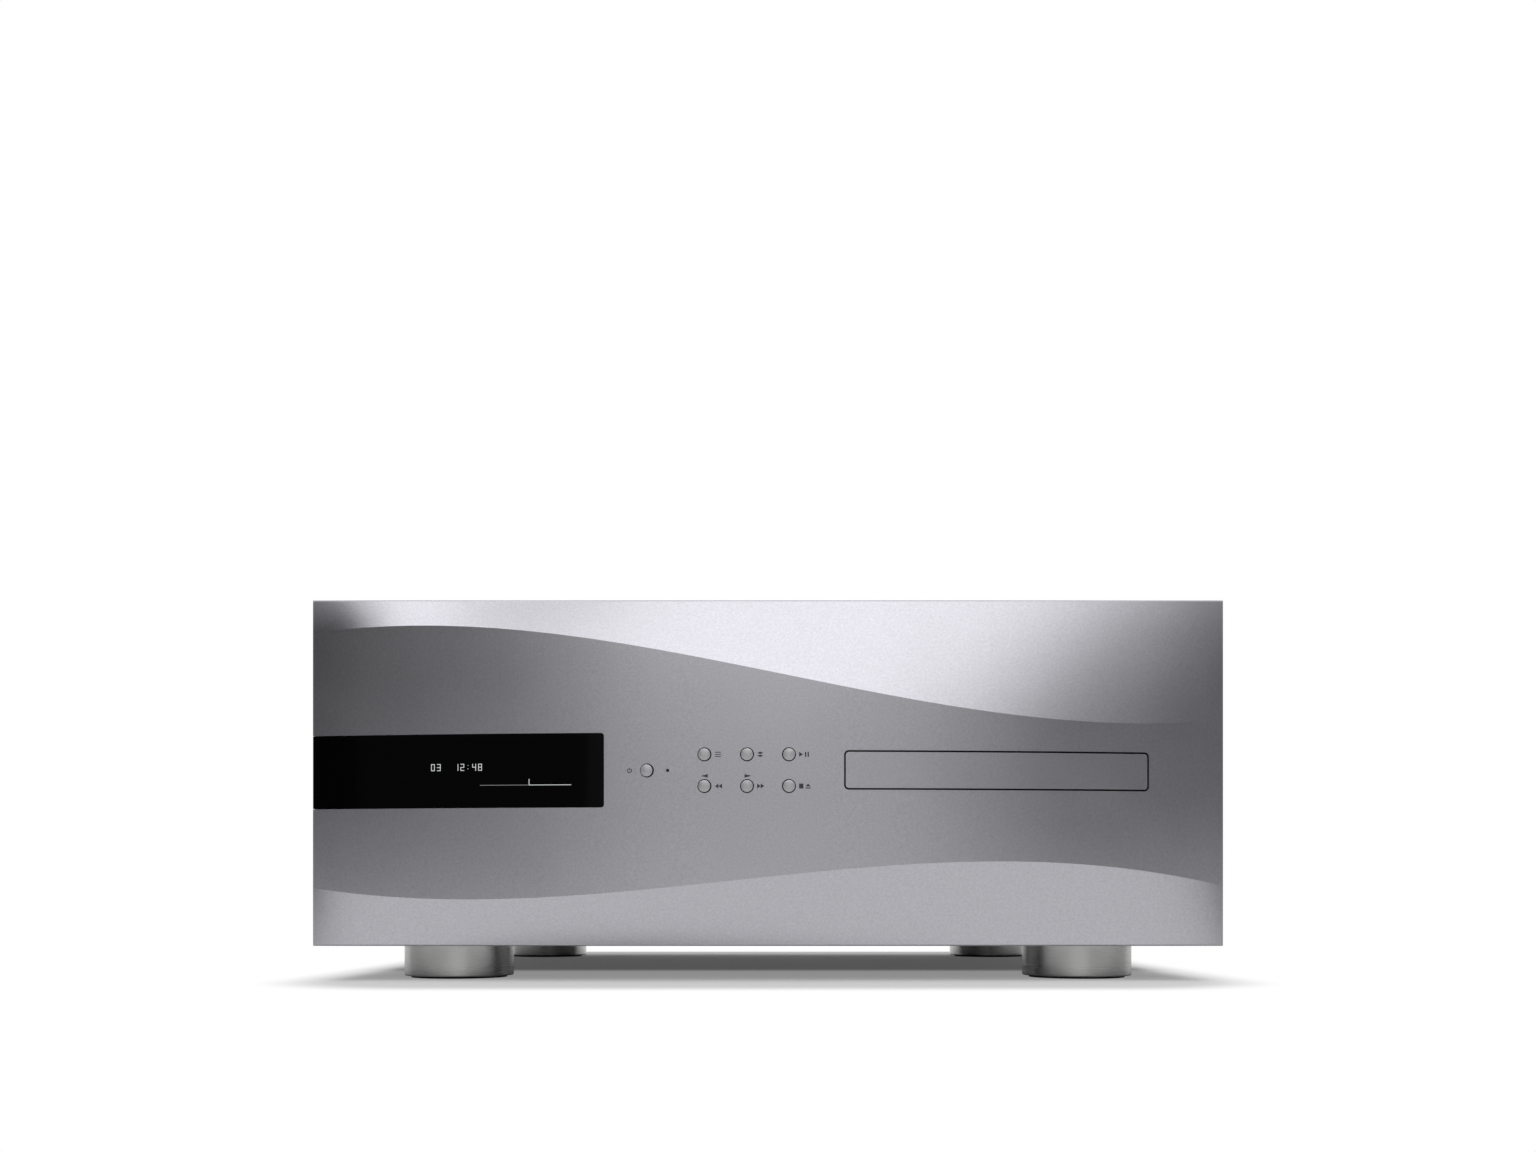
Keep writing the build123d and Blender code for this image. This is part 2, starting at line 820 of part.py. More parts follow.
front_screw = cap_screw(
    panel_screw_radius,
    post_size + front_screw_depth - screw_end_gap,
    panel_screw_head,
    panel_screw_head,
)
rear_screw = cap_screw(
    panel_screw_radius,
    rear_thickness + post_size - screw_end_gap,
    panel_screw_head,
    panel_screw_head / 2,
)
with BuildPart() as case_screws:
    with Locations(*[(x, y, case_top) for x, y in cover_screw_places]):
        add(cover_screw.part)
    with Locations(
        *[
            Location((side * post_x, plate_back + post_size, height), (-90, 0, 0))
            for side in (-1, 1)
            for height in panel_screw_heights
        ]
    ):
        add(front_screw)
    with Locations(
        *[
            Location((side * post_x, rear_face, height), (-90, 0, 0))
            for side in (-1, 1)
            for height in panel_screw_heights
        ]
    ):
        add(rear_screw)
save(case_screws.part, "case_screws")

# Feet: turned cylinders bolted up into the base, each on a thin soft pad
with BuildPart() as foot:
    with BuildSketch(Plane.XY.offset(pad_thickness)):
        Circle(foot_radius)
    extrude(amount=foot_height)
    fillet(foot.edges().group_by(Axis.Z)[0], foot_edge_round)
    with BuildSketch(Plane.XY.offset(pad_thickness)):
        Circle(foot_bolt_head + screw_gap)
    extrude(amount=foot_height / 2, mode=Mode.SUBTRACT)
    with BuildSketch(Plane.XY.offset(pad_thickness)):
        Circle(foot_bolt_radius + screw_gap)
    extrude(amount=foot_height, mode=Mode.SUBTRACT)

for foot_name, foot_place in foot_places.items():
    with BuildPart() as placed_foot:
        with Locations(foot_place):
            add(foot.part)
    save(placed_foot.part, foot_name)

with BuildPart() as foot_pads:
    with BuildSketch():
        with Locations(*foot_places.values()):
            Circle(pad_radius)
    extrude(amount=pad_thickness)
save(foot_pads.part, "foot_pads")

foot_bolt = cap_screw(
    foot_bolt_radius,
    foot_height / 2 + base_thickness,
    foot_bolt_head,
    foot_bolt_radius,
)
toroid_bolt = cap_screw(
    foot_bolt_radius,
    toroid_height + toroid_pad + base_thickness,
    toroid_washer_radius,
    foot_bolt_radius,
)
toroid_top = base_top + toroid_pad + toroid_height
with BuildPart() as base_bolts:
    with Locations(
        *[
            Location((x, y, pad_thickness + foot_height / 2), (180, 0, 0))
            for x, y in foot_places.values()
        ]
    ):
        add(foot_bolt)
    with Locations(*[(across, along, toroid_top) for across, along in toroid_places]):
        add(toroid_bolt)
save(base_bolts.part, "base_bolts")

# Tray front and disc tray
tray_bottom = tray_front_bottom + tray_raise
tray_top = tray_bottom + tray_thickness
recess_floor = tray_top - recess_depth
tray_rear = disc_centre + disc_radius + disc_gap + tray_rear_margin
pinion_x = tray_centre + pinion_place[0]
pinion_y = disc_centre + pinion_place[1]
rack_count = int(tray_travel / (pi * gear_module)) + spare_teeth

with BuildPart() as tray_front:
    add(
        rounded_block(
            tray_front_left + tray_ring_gap,
            tray_front_right - tray_ring_gap,
            tray_front_bottom + tray_ring_gap,
            tray_front_top - tray_ring_gap,
            tray_front_corner - tray_ring_gap,
            front_apex,
            tray_front_rear,
        )
    )
    add(bow_body(0), mode=Mode.INTERSECT)
save(tray_front.part, "tray_front")

tray_rack_height = tray_bottom - tray_front_bottom - slide_gap
tray_rack = rack(rack_count, gear_module, tray_rack_height, rack_back)
with BuildPart() as disc_tray:
    with BuildSketch(Plane.XY.offset(tray_bottom)):
        with Locations((tray_centre, (tray_front_rear + tray_rear) / 2)):
            Rectangle(tray_width, tray_rear - tray_front_rear)
    extrude(amount=tray_thickness)
    with BuildSketch(Plane.XY.offset(recess_floor)):
        with Locations((tray_centre, disc_centre)):
            Circle(disc_radius + disc_gap)
    extrude(amount=recess_depth, mode=Mode.SUBTRACT)
    with BuildSketch(Plane.XY.offset(recess_floor - small_recess_depth)):
        with Locations((tray_centre, disc_centre)):
            Circle(small_disc_radius)
    extrude(amount=small_recess_depth, mode=Mode.SUBTRACT)
    with BuildSketch(Plane.XY.offset(tray_bottom)):
        with Locations((tray_centre, disc_centre - window_front + window_half_width)):
            Circle(window_half_width)
        with Locations((tray_centre, (disc_centre - window_front + window_half_width + tray_rear) / 2)):
            Rectangle(
                2 * window_half_width,
                tray_rear - disc_centre + window_front - window_half_width,
            )
    extrude(amount=tray_thickness, mode=Mode.SUBTRACT)
    chamfer(disc_tray.edges().filter_by(GeomType.CIRCLE).group_by(Axis.Z)[-1], recess_slope)
    with Locations((pinion_x + pinion_radius, pinion_y, tray_bottom - tray_rack_height)):
        add(tray_rack)
save(disc_tray.part, "disc_tray")

# Loader: a deck on posts, dampers, a floor with two rails, and the bridge over the tray
deck_bottom = base_top + deck_height
deck_top = deck_bottom + deck_thickness
floor_bottom = deck_top + damper_height
floor_top = floor_bottom + floor_thickness
deck_middle = disc_centre + (mount_front + mount_rear) / 2 + deck_shift
wall_outer = wall_inner + rail_thickness
loader_front = plate_back + loader_front_gap
loader_rear = tray_rear + loader_rear_margin
lip_bottom = tray_top + slide_gap
rail_top = lip_bottom + lip_thickness
tray_motor_place = (pinion_x - tray_motor_reach, pinion_y)
lift_pinion_x = tray_centre - lift_pinion_from_middle
lift_pinion_y = disc_centre + lift_pinion_place

with BuildPart() as mechanism_deck:
    with BuildSketch(Plane.XY.offset(deck_bottom)):
        with Locations((tray_centre, deck_middle)):
            RectangleRounded(deck_width, deck_depth, deck_post_radius)
        with Locations(*loader_mounts):
            Circle(shoulder_screw_radius + screw_gap, mode=Mode.SUBTRACT)
    extrude(amount=deck_thickness)
save(mechanism_deck.part, "mechanism_deck")

main_standoffs = [
    (
        main_board_place[0] + side * (main_board_size[0] / 2 - board_step),
        main_board_place[1] + along * (main_board_size[1] / 2 - board_step),
    )
    for side in (-1, 1)
    for along in (-1, 1)
]
power_standoffs = [
    (
        power_board_place[0] + side * (power_board_size[0] / 2 - board_step),
        power_board_place[1] + along * (power_board_size[1] / 2 - board_step),
    )
    for side in (-1, 1)
    for along in (-1, 1)
]
with BuildPart() as chassis_posts:
    with BuildSketch(Plane.XY.offset(base_top)):
        with Locations(*loader_mounts):
            RegularPolygon(deck_post_radius, 6)
            Circle(shoulder_screw_radius + shaft_gap, mode=Mode.SUBTRACT)
    extrude(amount=deck_height)
    with BuildSketch(Plane.XY.offset(base_top)):
        with Locations(*main_standoffs, *power_standoffs):
            RegularPolygon(standoff_radius, 6)
    extrude(amount=standoff_height)
save(chassis_posts.part, "chassis_posts")

with BuildPart() as deck_dampers:
    with BuildSketch(Plane.XY.offset(deck_top)):
        with Locations(*loader_mounts):
            Circle(damper_radius)
            Circle(shoulder_screw_radius + screw_gap, mode=Mode.SUBTRACT)
    extrude(amount=damper_height)
save(deck_dampers.part, "deck_dampers")

shoulder_screw = cap_screw(
    shoulder_screw_radius,
    floor_thickness + damper_height + deck_thickness + shoulder_screw_reach,
    shoulder_screw_head,
    shoulder_screw_radius,
)
with BuildPart() as loader_screws:
    with Locations(*[(x, y, floor_top) for x, y in loader_mounts]):
        add(shoulder_screw)
save(loader_screws.part, "loader_screws")

guide_places = [
    (tray_centre + side * guide[0], disc_centre + guide[1])
    for side in (-1, 1)
    for guide in (guide_front, guide_rear)
]
guide_top = tray_bottom - platter_drop - panel_gap
with BuildPart() as loader_floor:
    with BuildSketch(Plane.XY.offset(floor_bottom)):
        with Locations((tray_centre, (loader_front + loader_rear) / 2)):
            Rectangle(2 * wall_outer, loader_rear - loader_front)
        with Locations(*loader_mounts):
            Circle(shoulder_screw_radius + screw_gap, mode=Mode.SUBTRACT)
        with Locations((pinion_x, pinion_y)):
            Circle(guide_radius + shaft_gap, mode=Mode.SUBTRACT)
        with Locations(tray_motor_place):
            Circle(shaft_radius + slide_gap, mode=Mode.SUBTRACT)
    extrude(amount=floor_thickness)
    with BuildSketch(Plane.XY.offset(floor_bottom)):
        with Locations(*guide_places):
            Circle(guide_radius)
    extrude(amount=guide_top - floor_bottom)
save(loader_floor.part, "loader_floor")

for side, side_name in ((-1, "loader_rail_left"), (1, "loader_rail_right")):
    with BuildPart() as rail:
        with BuildSketch(facing_front(loader_rear)):
            with BuildLine():
                Polyline(
                    (tray_centre + side * wall_outer, floor_top),
                    (tray_centre + side * wall_outer, rail_top),
                    (tray_centre + side * (wall_inner - ledge_width), rail_top),
                    (tray_centre + side * (wall_inner - ledge_width), lip_bottom),
                    (tray_centre + side * wall_inner, lip_bottom),
                    (tray_centre + side * wall_inner, tray_bottom - slide_gap),
                    (tray_centre + side * (wall_inner - ledge_width), tray_bottom - slide_gap),
                    (
                        tray_centre + side * (wall_inner - ledge_width),
                        tray_bottom - slide_gap - ledge_thickness,
                    ),
                    (tray_centre + side * wall_inner, tray_bottom - slide_gap - ledge_thickness),
                    (tray_centre + side * wall_inner, floor_top),
                    close=True,
                )
            make_face()
        extrude(amount=loader_rear - loader_front)
    save(rail.part, side_name)

clamper_bottom = tray_top + clamper_drop
bridge_top = rail_top + bridge_thickness
with BuildPart() as clamp_bridge:
    with BuildSketch(Plane.XY.offset(rail_top)):
        with Locations((tray_centre, disc_centre)):
            Rectangle(2 * wall_outer, bridge_depth)
            Circle(clamper_radius + clamper_hole_gap, mode=Mode.SUBTRACT)
    extrude(amount=bridge_thickness)
save(clamp_bridge.part, "clamp_bridge")

with BuildPart() as clamper:
    with BuildSketch(Plane.XY.offset(clamper_bottom)):
        with Locations((tray_centre, disc_centre)):
            Circle(clamper_radius)
    extrude(amount=bridge_top + slide_gap - clamper_bottom)
    with BuildSketch(Plane.XY.offset(bridge_top + slide_gap)):
        with Locations((tray_centre, disc_centre)):
            Circle(clamper_flange_radius)
    extrude(amount=clamper_flange)
    with BuildSketch(Plane.XY.offset(clamper_bottom)):
        with Locations((tray_centre, disc_centre)):
            Circle(cone_radius + clamper_hole_gap)
    extrude(amount=cone_height, mode=Mode.SUBTRACT)
    with BuildSketch(Plane.XY.offset(bridge_top + slide_gap + clamper_flange - magnet_thickness)):
        with Locations((tray_centre, disc_centre)):
            Circle(magnet_radius + shaft_gap)
    extrude(amount=magnet_thickness, mode=Mode.SUBTRACT)
    with BuildSketch(Plane.XY.offset(bridge_top + slide_gap + clamper_flange)):
        with Locations((tray_centre, disc_centre)):
            Circle(magnet_radius)
            Circle(magnet_radius / 2, mode=Mode.SUBTRACT)
    extrude(amount=shaft_gap - magnet_thickness)
save(clamper.part, "clamper")

# Tray drive: motor, belt under the floor, and a gear pressed on its shaft that meets the tray's rack
pulley_top = floor_bottom - slide_gap
pulley_bottom = pulley_top - pulley_width
belt_middle = pulley_top - pulley_width / 2
pinion_bottom = tray_bottom - tray_rack_height
with BuildPart() as pinion_shaft:
    with BuildSketch(Plane.XY.offset(pulley_bottom)):
        with Locations((pinion_x, pinion_y)):
            Circle(guide_radius)
    extrude(amount=tray_bottom - slide_gap - pulley_bottom)
    with BuildSketch(Plane.XY.offset(floor_top + slide_gap)):
        with Locations((pinion_x, pinion_y)):
            Circle(2 * guide_radius)
    extrude(amount=pinion_bottom - shaft_gap - floor_top - slide_gap)

with BuildPart() as pinion_gear:
    with Locations((pinion_x, pinion_y)):
        add(spur_gear(pinion_teeth, gear_module, tray_rack_height - slide_gap, pinion_bottom))
    with BuildSketch(Plane.XY.offset(pinion_bottom)):
        with Locations((pinion_x, pinion_y)):
            Circle(guide_radius + shaft_gap)
    extrude(amount=tray_rack_height, mode=Mode.SUBTRACT)


def pulley(radius, bore, place):
    """A pulley with a groove for the belt around its rim."""
    with BuildPart() as wheel:
        with BuildSketch(Plane.XY.offset(pulley_bottom)):
            with Locations(place):
                Circle(radius)
        extrude(amount=pulley_width)
        with BuildSketch(Plane.XY.offset(belt_middle - belt_size)):
            with Locations(place):
                Circle(radius + belt_size)
                Circle(radius - belt_sink, mode=Mode.SUBTRACT)
        extrude(amount=2 * belt_size, mode=Mode.SUBTRACT)
        with BuildSketch(Plane.XY.offset(pulley_bottom)):
            with Locations(place):
                Circle(bore)
        extrude(amount=pulley_width, mode=Mode.SUBTRACT)
    return wheel.part


with BuildPart() as tray_drive:
    add(pinion_shaft.part)
    add(pinion_gear.part)
    add(pulley(drive_pulley_radius, guide_radius + shaft_gap, (pinion_x, pinion_y)))
save(tray_drive.part, "tray_pinion")

with BuildPart() as motor_pulley:
    add(pulley(motor_pulley_radius, shaft_radius / 2, tray_motor_place))
    with BuildSketch(Plane.XY.offset(pulley_bottom)):
        with Locations(tray_motor_place):
            Circle(shaft_radius)
    extrude(amount=floor_top + tray_motor_height / 2 - pulley_bottom)
save(motor_pulley.part, "motor_pulley")


def belt_loop(grow):
    """The belt's line round both pulleys, grow outside their grooves."""
    with BuildSketch(Plane.XY.offset(belt_middle - belt_size / 2)) as loop:
        with Locations((pinion_x, pinion_y)):
            Circle(drive_pulley_radius - belt_sink + grow)
        with Locations(tray_motor_place):
            Circle(motor_pulley_radius - belt_sink + grow)
        make_hull()
    return loop.sketch


with BuildPart() as drive_belt:
    extrude(belt_loop(slide_gap + belt_size), amount=belt_size)
    extrude(belt_loop(slide_gap), amount=belt_size, mode=Mode.SUBTRACT)
save(drive_belt.part, "drive_belt")


def motor_can(place, bottom, radius, height, bore):
    with BuildPart() as can:
        with BuildSketch(Plane.XY.offset(bottom)):
            with Locations(place):
                Circle(radius)
        extrude(amount=height)
        chamfer(can.edges().group_by(Axis.Z)[-1], motor_chamfer)
        with BuildSketch(Plane.XY.offset(bottom)):
            with Locations(place):
                Circle(bore + shaft_gap)
        extrude(amount=height, mode=Mode.SUBTRACT)
    return can.part


save(
    motor_can(tray_motor_place, floor_top, tray_motor_radius, tray_motor_height, shaft_radius),
    "tray_motor",
)

# Lift: a cam frame slides along the floor and its slanted slots raise the traverse
platter_top = tray_bottom - platter_drop - cone_height
frame_top = platter_top - frame_drop
frame_bottom = frame_top - frame_thickness
cam_bottom = floor_top + slide_gap
cam_pin_z = floor_top + cam_pin_raise
cam_front = disc_centre + cam_pin_front - cam_margin
cam_rear = disc_centre + cam_pin_rear + cam_travel + cam_margin
cam_middle = (cam_front + cam_rear) / 2
slot_radius = cam_pin_radius + slide_gap
lift_rack_bottom = floor_top + lift_rack_raise
lift_rack_count = int(cam_travel / (pi * gear_module)) + spare_teeth
lift_rack = rack(lift_rack_count, gear_module, lift_rack_height, lift_rack_reach - tooth_root * gear_module)

with BuildPart() as lift_cam:
    with BuildSketch(Plane.XY.offset(cam_bottom)):
        with Locations(
            *[(tray_centre + side * (cam_inner + cam_thickness / 2), cam_middle) for side in (-1, 1)]
        ):
            Rectangle(cam_thickness, cam_rear - cam_front)
    extrude(amount=cam_height)
    with BuildSketch(Plane.XY.offset(cam_bottom)):
        with Locations((tray_centre, disc_centre + cam_bridge_place)):
            Rectangle(2 * cam_inner + cam_thickness, cam_bridge_width)
    extrude(amount=cam_bridge_thickness)
    with BuildSketch(Plane.YZ.offset(tray_centre - wall_outer)):
        with Locations(
            *[
                Location(
                    (
                        disc_centre + pin_place + cam_travel / 2,
                        cam_pin_z + lift_travel / 2,
                    ),
                    degrees(atan2(lift_travel, cam_travel)),
                )
                for pin_place in (cam_pin_front, cam_pin_rear)
            ]
        ):
            SlotCenterToCenter(hypot(cam_travel, lift_travel), 2 * slot_radius)
    extrude(amount=2 * wall_outer, mode=Mode.SUBTRACT)
    with Locations((lift_pinion_x + pinion_radius, lift_pinion_y, lift_rack_bottom)):
        add(lift_rack)
save(lift_cam.part, "lift_cam")

with BuildPart() as lift_pinion:
    with Locations((lift_pinion_x, lift_pinion_y)):
        add(spur_gear(pinion_teeth, gear_module, lift_rack_height, lift_rack_bottom))
    with BuildSketch(Plane.XY.offset(floor_top + lift_motor_height / 2)):
        with Locations((lift_pinion_x, lift_pinion_y)):
            Circle(shaft_radius)
    extrude(amount=lift_rack_bottom - floor_top - lift_motor_height / 2)
save(lift_pinion.part, "lift_pinion")
save(
    motor_can((lift_pinion_x, lift_pinion_y), floor_top, lift_motor_radius, lift_motor_height, shaft_radius),
    "lift_motor",
)

# Traverse: a frame with four cam pins, guided by four posts, that carries the spindle and the sled
rod_z = frame_bottom - rod_drop
screw_z = frame_bottom - leadscrew_drop
flange_bottom = frame_top - flange_height
frame_middle = (frame_front + frame_rear) / 2
sled_window_middle = (frame_window_front + frame_window_rear) / 2
rod_places = [(tray_centre + side * rod_spacing / 2, rod_z) for side in (-1, 1)]
screw_place = (tray_centre + leadscrew_side, screw_z)

with BuildPart() as traverse_frame:
    with BuildSketch(Plane.XY.offset(frame_bottom)):
        with Locations((tray_centre, disc_centre + frame_middle)):
            Rectangle(2 * frame_half_width, frame_rear - frame_front)
        with Locations((tray_centre, disc_centre + sled_window_middle)):
            Rectangle(
                2 * frame_window_half,
                frame_window_rear - frame_window_front,
                mode=Mode.SUBTRACT,
            )
        with Locations((tray_centre, disc_centre)):
            Circle(spindle_boss_radius + panel_gap, mode=Mode.SUBTRACT)
        with Locations(*guide_places):
            Circle(guide_radius + shaft_gap, mode=Mode.SUBTRACT)
    extrude(amount=frame_thickness)
    with BuildSketch(Plane.XY.offset(flange_bottom)):
        with Locations(
            *[
                (
                    tray_centre + side * (frame_half_width - wall_thickness / 2),
                    disc_centre + (frame_front + frame_window_rear) / 2,
                )
                for side in (-1, 1)
            ]
        ):
            Rectangle(wall_thickness, frame_window_rear - frame_front)
        with Locations(
            (tray_centre, disc_centre + frame_window_front - wall_thickness / 2),
            (tray_centre, disc_centre + frame_window_rear + wall_thickness / 2),
        ):
            Rectangle(2 * frame_half_width, wall_thickness)
    extrude(amount=frame_bottom - flange_bottom)
    with BuildSketch(facing_front(disc_centre + frame_rear)):
        with Locations(*rod_places):
            Circle(rod_radius + shaft_gap)
        with Locations(screw_place):
            Circle(leadscrew_radius + shaft_gap)
    extrude(amount=frame_rear - frame_window_front + wall_thickness, mode=Mode.SUBTRACT)
    for side in (-1, 1):
        with BuildSketch(Plane.YZ.offset(tray_centre + side * frame_half_width)):
            with Locations(
                (disc_centre + cam_pin_front, cam_pin_z),
                (disc_centre + cam_pin_rear, cam_pin_z),
            ):
                Circle(cam_pin_radius)
        extrude(amount=side * (cam_inner + cam_thickness + cam_pin_reach - frame_half_width))
save(traverse_frame.part, "traverse_frame")

with BuildPart() as spindle_motor:
    with BuildSketch(Plane.XY.offset(frame_bottom - spindle_motor_height)):
        with Locations((tray_centre, disc_centre)):
            Circle(spindle_motor_radius)
    extrude(amount=spindle_motor_height)
    with BuildSketch(Plane.XY.offset(frame_bottom)):
        with Locations((tray_centre, disc_centre)):
            Circle(spindle_boss_radius)
    extrude(amount=platter_top - platter_thickness - slide_gap - frame_bottom)
    with BuildSketch(Plane.XY.offset(frame_bottom - spindle_motor_height + wall_thickness)):
        with Locations((tray_centre, disc_centre)):
            Circle(spindle_shaft_radius + shaft_gap)
    extrude(amount=overall_depth, mode=Mode.SUBTRACT)
save(spindle_motor.part, "spindle_motor")

with BuildPart() as turntable:
    with BuildSketch(Plane.XY.offset(platter_top - platter_thickness)):
        with Locations((tray_centre, disc_centre)):
            Circle(platter_radius)
    extrude(amount=platter_thickness)
    with Locations((tray_centre, disc_centre, platter_top)):
        Cone(
            cone_radius,
            cone_top_radius,
            cone_height,
            align=(Align.CENTER, Align.CENTER, Align.MIN),
        )
    with BuildSketch(Plane.XY.offset(frame_bottom - spindle_motor_height + wall_thickness + slide_gap)):
        with Locations((tray_centre, disc_centre)):
            Circle(spindle_shaft_radius)
    extrude(amount=platter_top - frame_bottom + spindle_motor_height - wall_thickness - slide_gap)
save(turntable.part, "turntable")

with BuildPart() as sled_rods:
    with BuildSketch(facing_front(disc_centre + frame_window_rear + wall_thickness)):
        with Locations(*rod_places):
            Circle(rod_radius)
    extrude(amount=frame_window_rear - frame_window_front + 2 * wall_thickness)
save(sled_rods.part, "sled_rods")

with BuildPart() as sled_leadscrew:
    with BuildSketch(facing_front(disc_centre + frame_window_rear + wall_thickness + sled_motor_length / 2)):
        with Locations(screw_place):
            Circle(leadscrew_radius)
    extrude(amount=frame_window_rear - frame_window_front + 2 * wall_thickness + sled_motor_length / 2)
save(sled_leadscrew.part, "sled_leadscrew")

with BuildPart() as sled_motor:
    with BuildSketch(facing_front(disc_centre + frame_window_rear + wall_thickness + sled_motor_length)):
        with Locations(screw_place):
            Circle(sled_motor_radius)
    extrude(amount=sled_motor_length)
    with BuildSketch(facing_front(disc_centre + frame_window_rear + wall_thickness + sled_motor_bore)):
        with Locations(screw_place):
            Circle(leadscrew_radius + shaft_gap)
    extrude(amount=sled_motor_bore, mode=Mode.SUBTRACT)
save(sled_motor.part, "sled_motor")

# Pickup: the sled, and the lens holder in its well
sled_top = frame_top - slide_gap
sled_bottom = sled_top - sled_height
tower_top = sled_top + sled_tower_height
sled_middle = disc_centre + sled_start + sled_length / 2
lens_place = (tray_centre, disc_centre + sled_start + lens_offset)
holder_bottom = tower_top - lens_holder_height / 2
well_radius = lens_holder_radius + lens_well_gap
lug_bottom = screw_z - leadscrew_radius - 2 * slide_gap - lug_floor
with BuildPart() as pickup_sled:
    with BuildSketch(Plane.XY.offset(sled_bottom)):
        with Locations((tray_centre, sled_middle)):
            Rectangle(2 * sled_half_width, sled_length)
    extrude(amount=sled_height)
    with BuildSketch(Plane.XY.offset(sled_top)):
        with Locations((tray_centre, sled_middle)):
            Rectangle(2 * sled_tower_half, sled_length)
    extrude(amount=sled_tower_height)
    with BuildSketch(Plane.XY.offset(lug_bottom)):
        with Locations((tray_centre + leadscrew_side, sled_middle)):
            Rectangle(2 * sled_motor_radius, sled_length / 2)
    extrude(amount=sled_bottom - lug_bottom)
    with BuildSketch(facing_front(sled_middle + sled_length)):
        with Locations(*rod_places):
            Circle(rod_radius + shaft_gap)
        with Locations(screw_place):
            Circle(leadscrew_radius + slide_gap)
    extrude(amount=2 * sled_length, mode=Mode.SUBTRACT)
    with BuildSketch(Plane.XY.offset(holder_bottom - focus_travel - panel_gap)):
        with Locations(lens_place):
            Circle(well_radius)
    extrude(amount=sled_tower_height, mode=Mode.SUBTRACT)
save(pickup_sled.part, "pickup_sled")

with BuildPart() as lens_holder:
    with BuildSketch(Plane.XY.offset(holder_bottom)):
        with Locations(lens_place):
            Circle(lens_holder_radius)
    extrude(amount=lens_holder_height)
    with BuildSketch(Plane.XY.offset(holder_bottom + lens_crown)):
        with Locations(lens_place):
            Circle(lens_radius + shaft_gap)
    extrude(amount=lens_holder_height, mode=Mode.SUBTRACT)
save(lens_holder.part, "lens_holder")

lens_top = holder_bottom + lens_holder_height + lens_crown
with BuildPart() as objective_lens:
    with BuildSketch(Plane.XZ.offset(-lens_place[1])):
        with BuildLine():
            Polyline(
                (tray_centre, lens_top),
                (tray_centre, holder_bottom + lens_crown),
                (tray_centre + lens_radius, holder_bottom + lens_crown),
                (tray_centre + lens_radius, lens_top - lens_crown),
            )
            lens_dome = (lens_radius**2 + lens_crown**2) / (2 * lens_crown)
            lens_turn = asin(lens_radius / lens_dome) / 2
            ThreePointArc(
                (tray_centre + lens_radius, lens_top - lens_crown),
                (
                    tray_centre + lens_dome * sin(lens_turn),
                    lens_top - lens_dome * (1 - cos(lens_turn)),
                ),
                (tray_centre, lens_top),
            )
        make_face()
    revolve(axis=Axis((*lens_place, 0), (0, 0, 1)))
save(objective_lens.part, "objective_lens")

# Boards and transformers
board_bottom = base_top + standoff_height
with BuildPart() as main_board:
    with BuildSketch(Plane.XY.offset(board_bottom)):
        with Locations(main_board_place):
            Rectangle(*main_board_size)
    extrude(amount=circuit_thickness)
    board_top = board_bottom + circuit_thickness
    with BuildSketch(Plane.XY.offset(board_top)):
        with Locations(main_board_place):
            with GridLocations(*chip_pitch, *chip_counts):
                Rectangle(chip_size, chip_size)
    extrude(amount=chip_height)
save(main_board.part, "main_board")

with BuildPart() as power_board:
    with BuildSketch(Plane.XY.offset(board_bottom)):
        with Locations(power_board_place):
            Rectangle(*power_board_size)
    extrude(amount=circuit_thickness)
    with BuildSketch(Plane.XY.offset(board_top)):
        with Locations(power_board_place):
            with GridLocations(*capacitor_pitch, *capacitor_counts):
                Circle(capacitor_radius)
    extrude(amount=capacitor_height)
save(power_board.part, "power_board")

with BuildPart() as toroid_transformers:
    with BuildSketch(Plane.XY.offset(base_top)):
        with Locations(*toroid_places):
            Circle(toroid_radius)
    extrude(amount=toroid_pad + toroid_height)
    fillet(toroid_transformers.edges().group_by(Axis.Z)[-1], toroid_round)
    with BuildSketch(Plane.XY.offset(base_top)):
        with Locations(*toroid_places):
            Circle(foot_bolt_radius + screw_gap)
    extrude(amount=toroid_pad + toroid_height, mode=Mode.SUBTRACT)
save(toroid_transformers.part, "toroid_transformers")

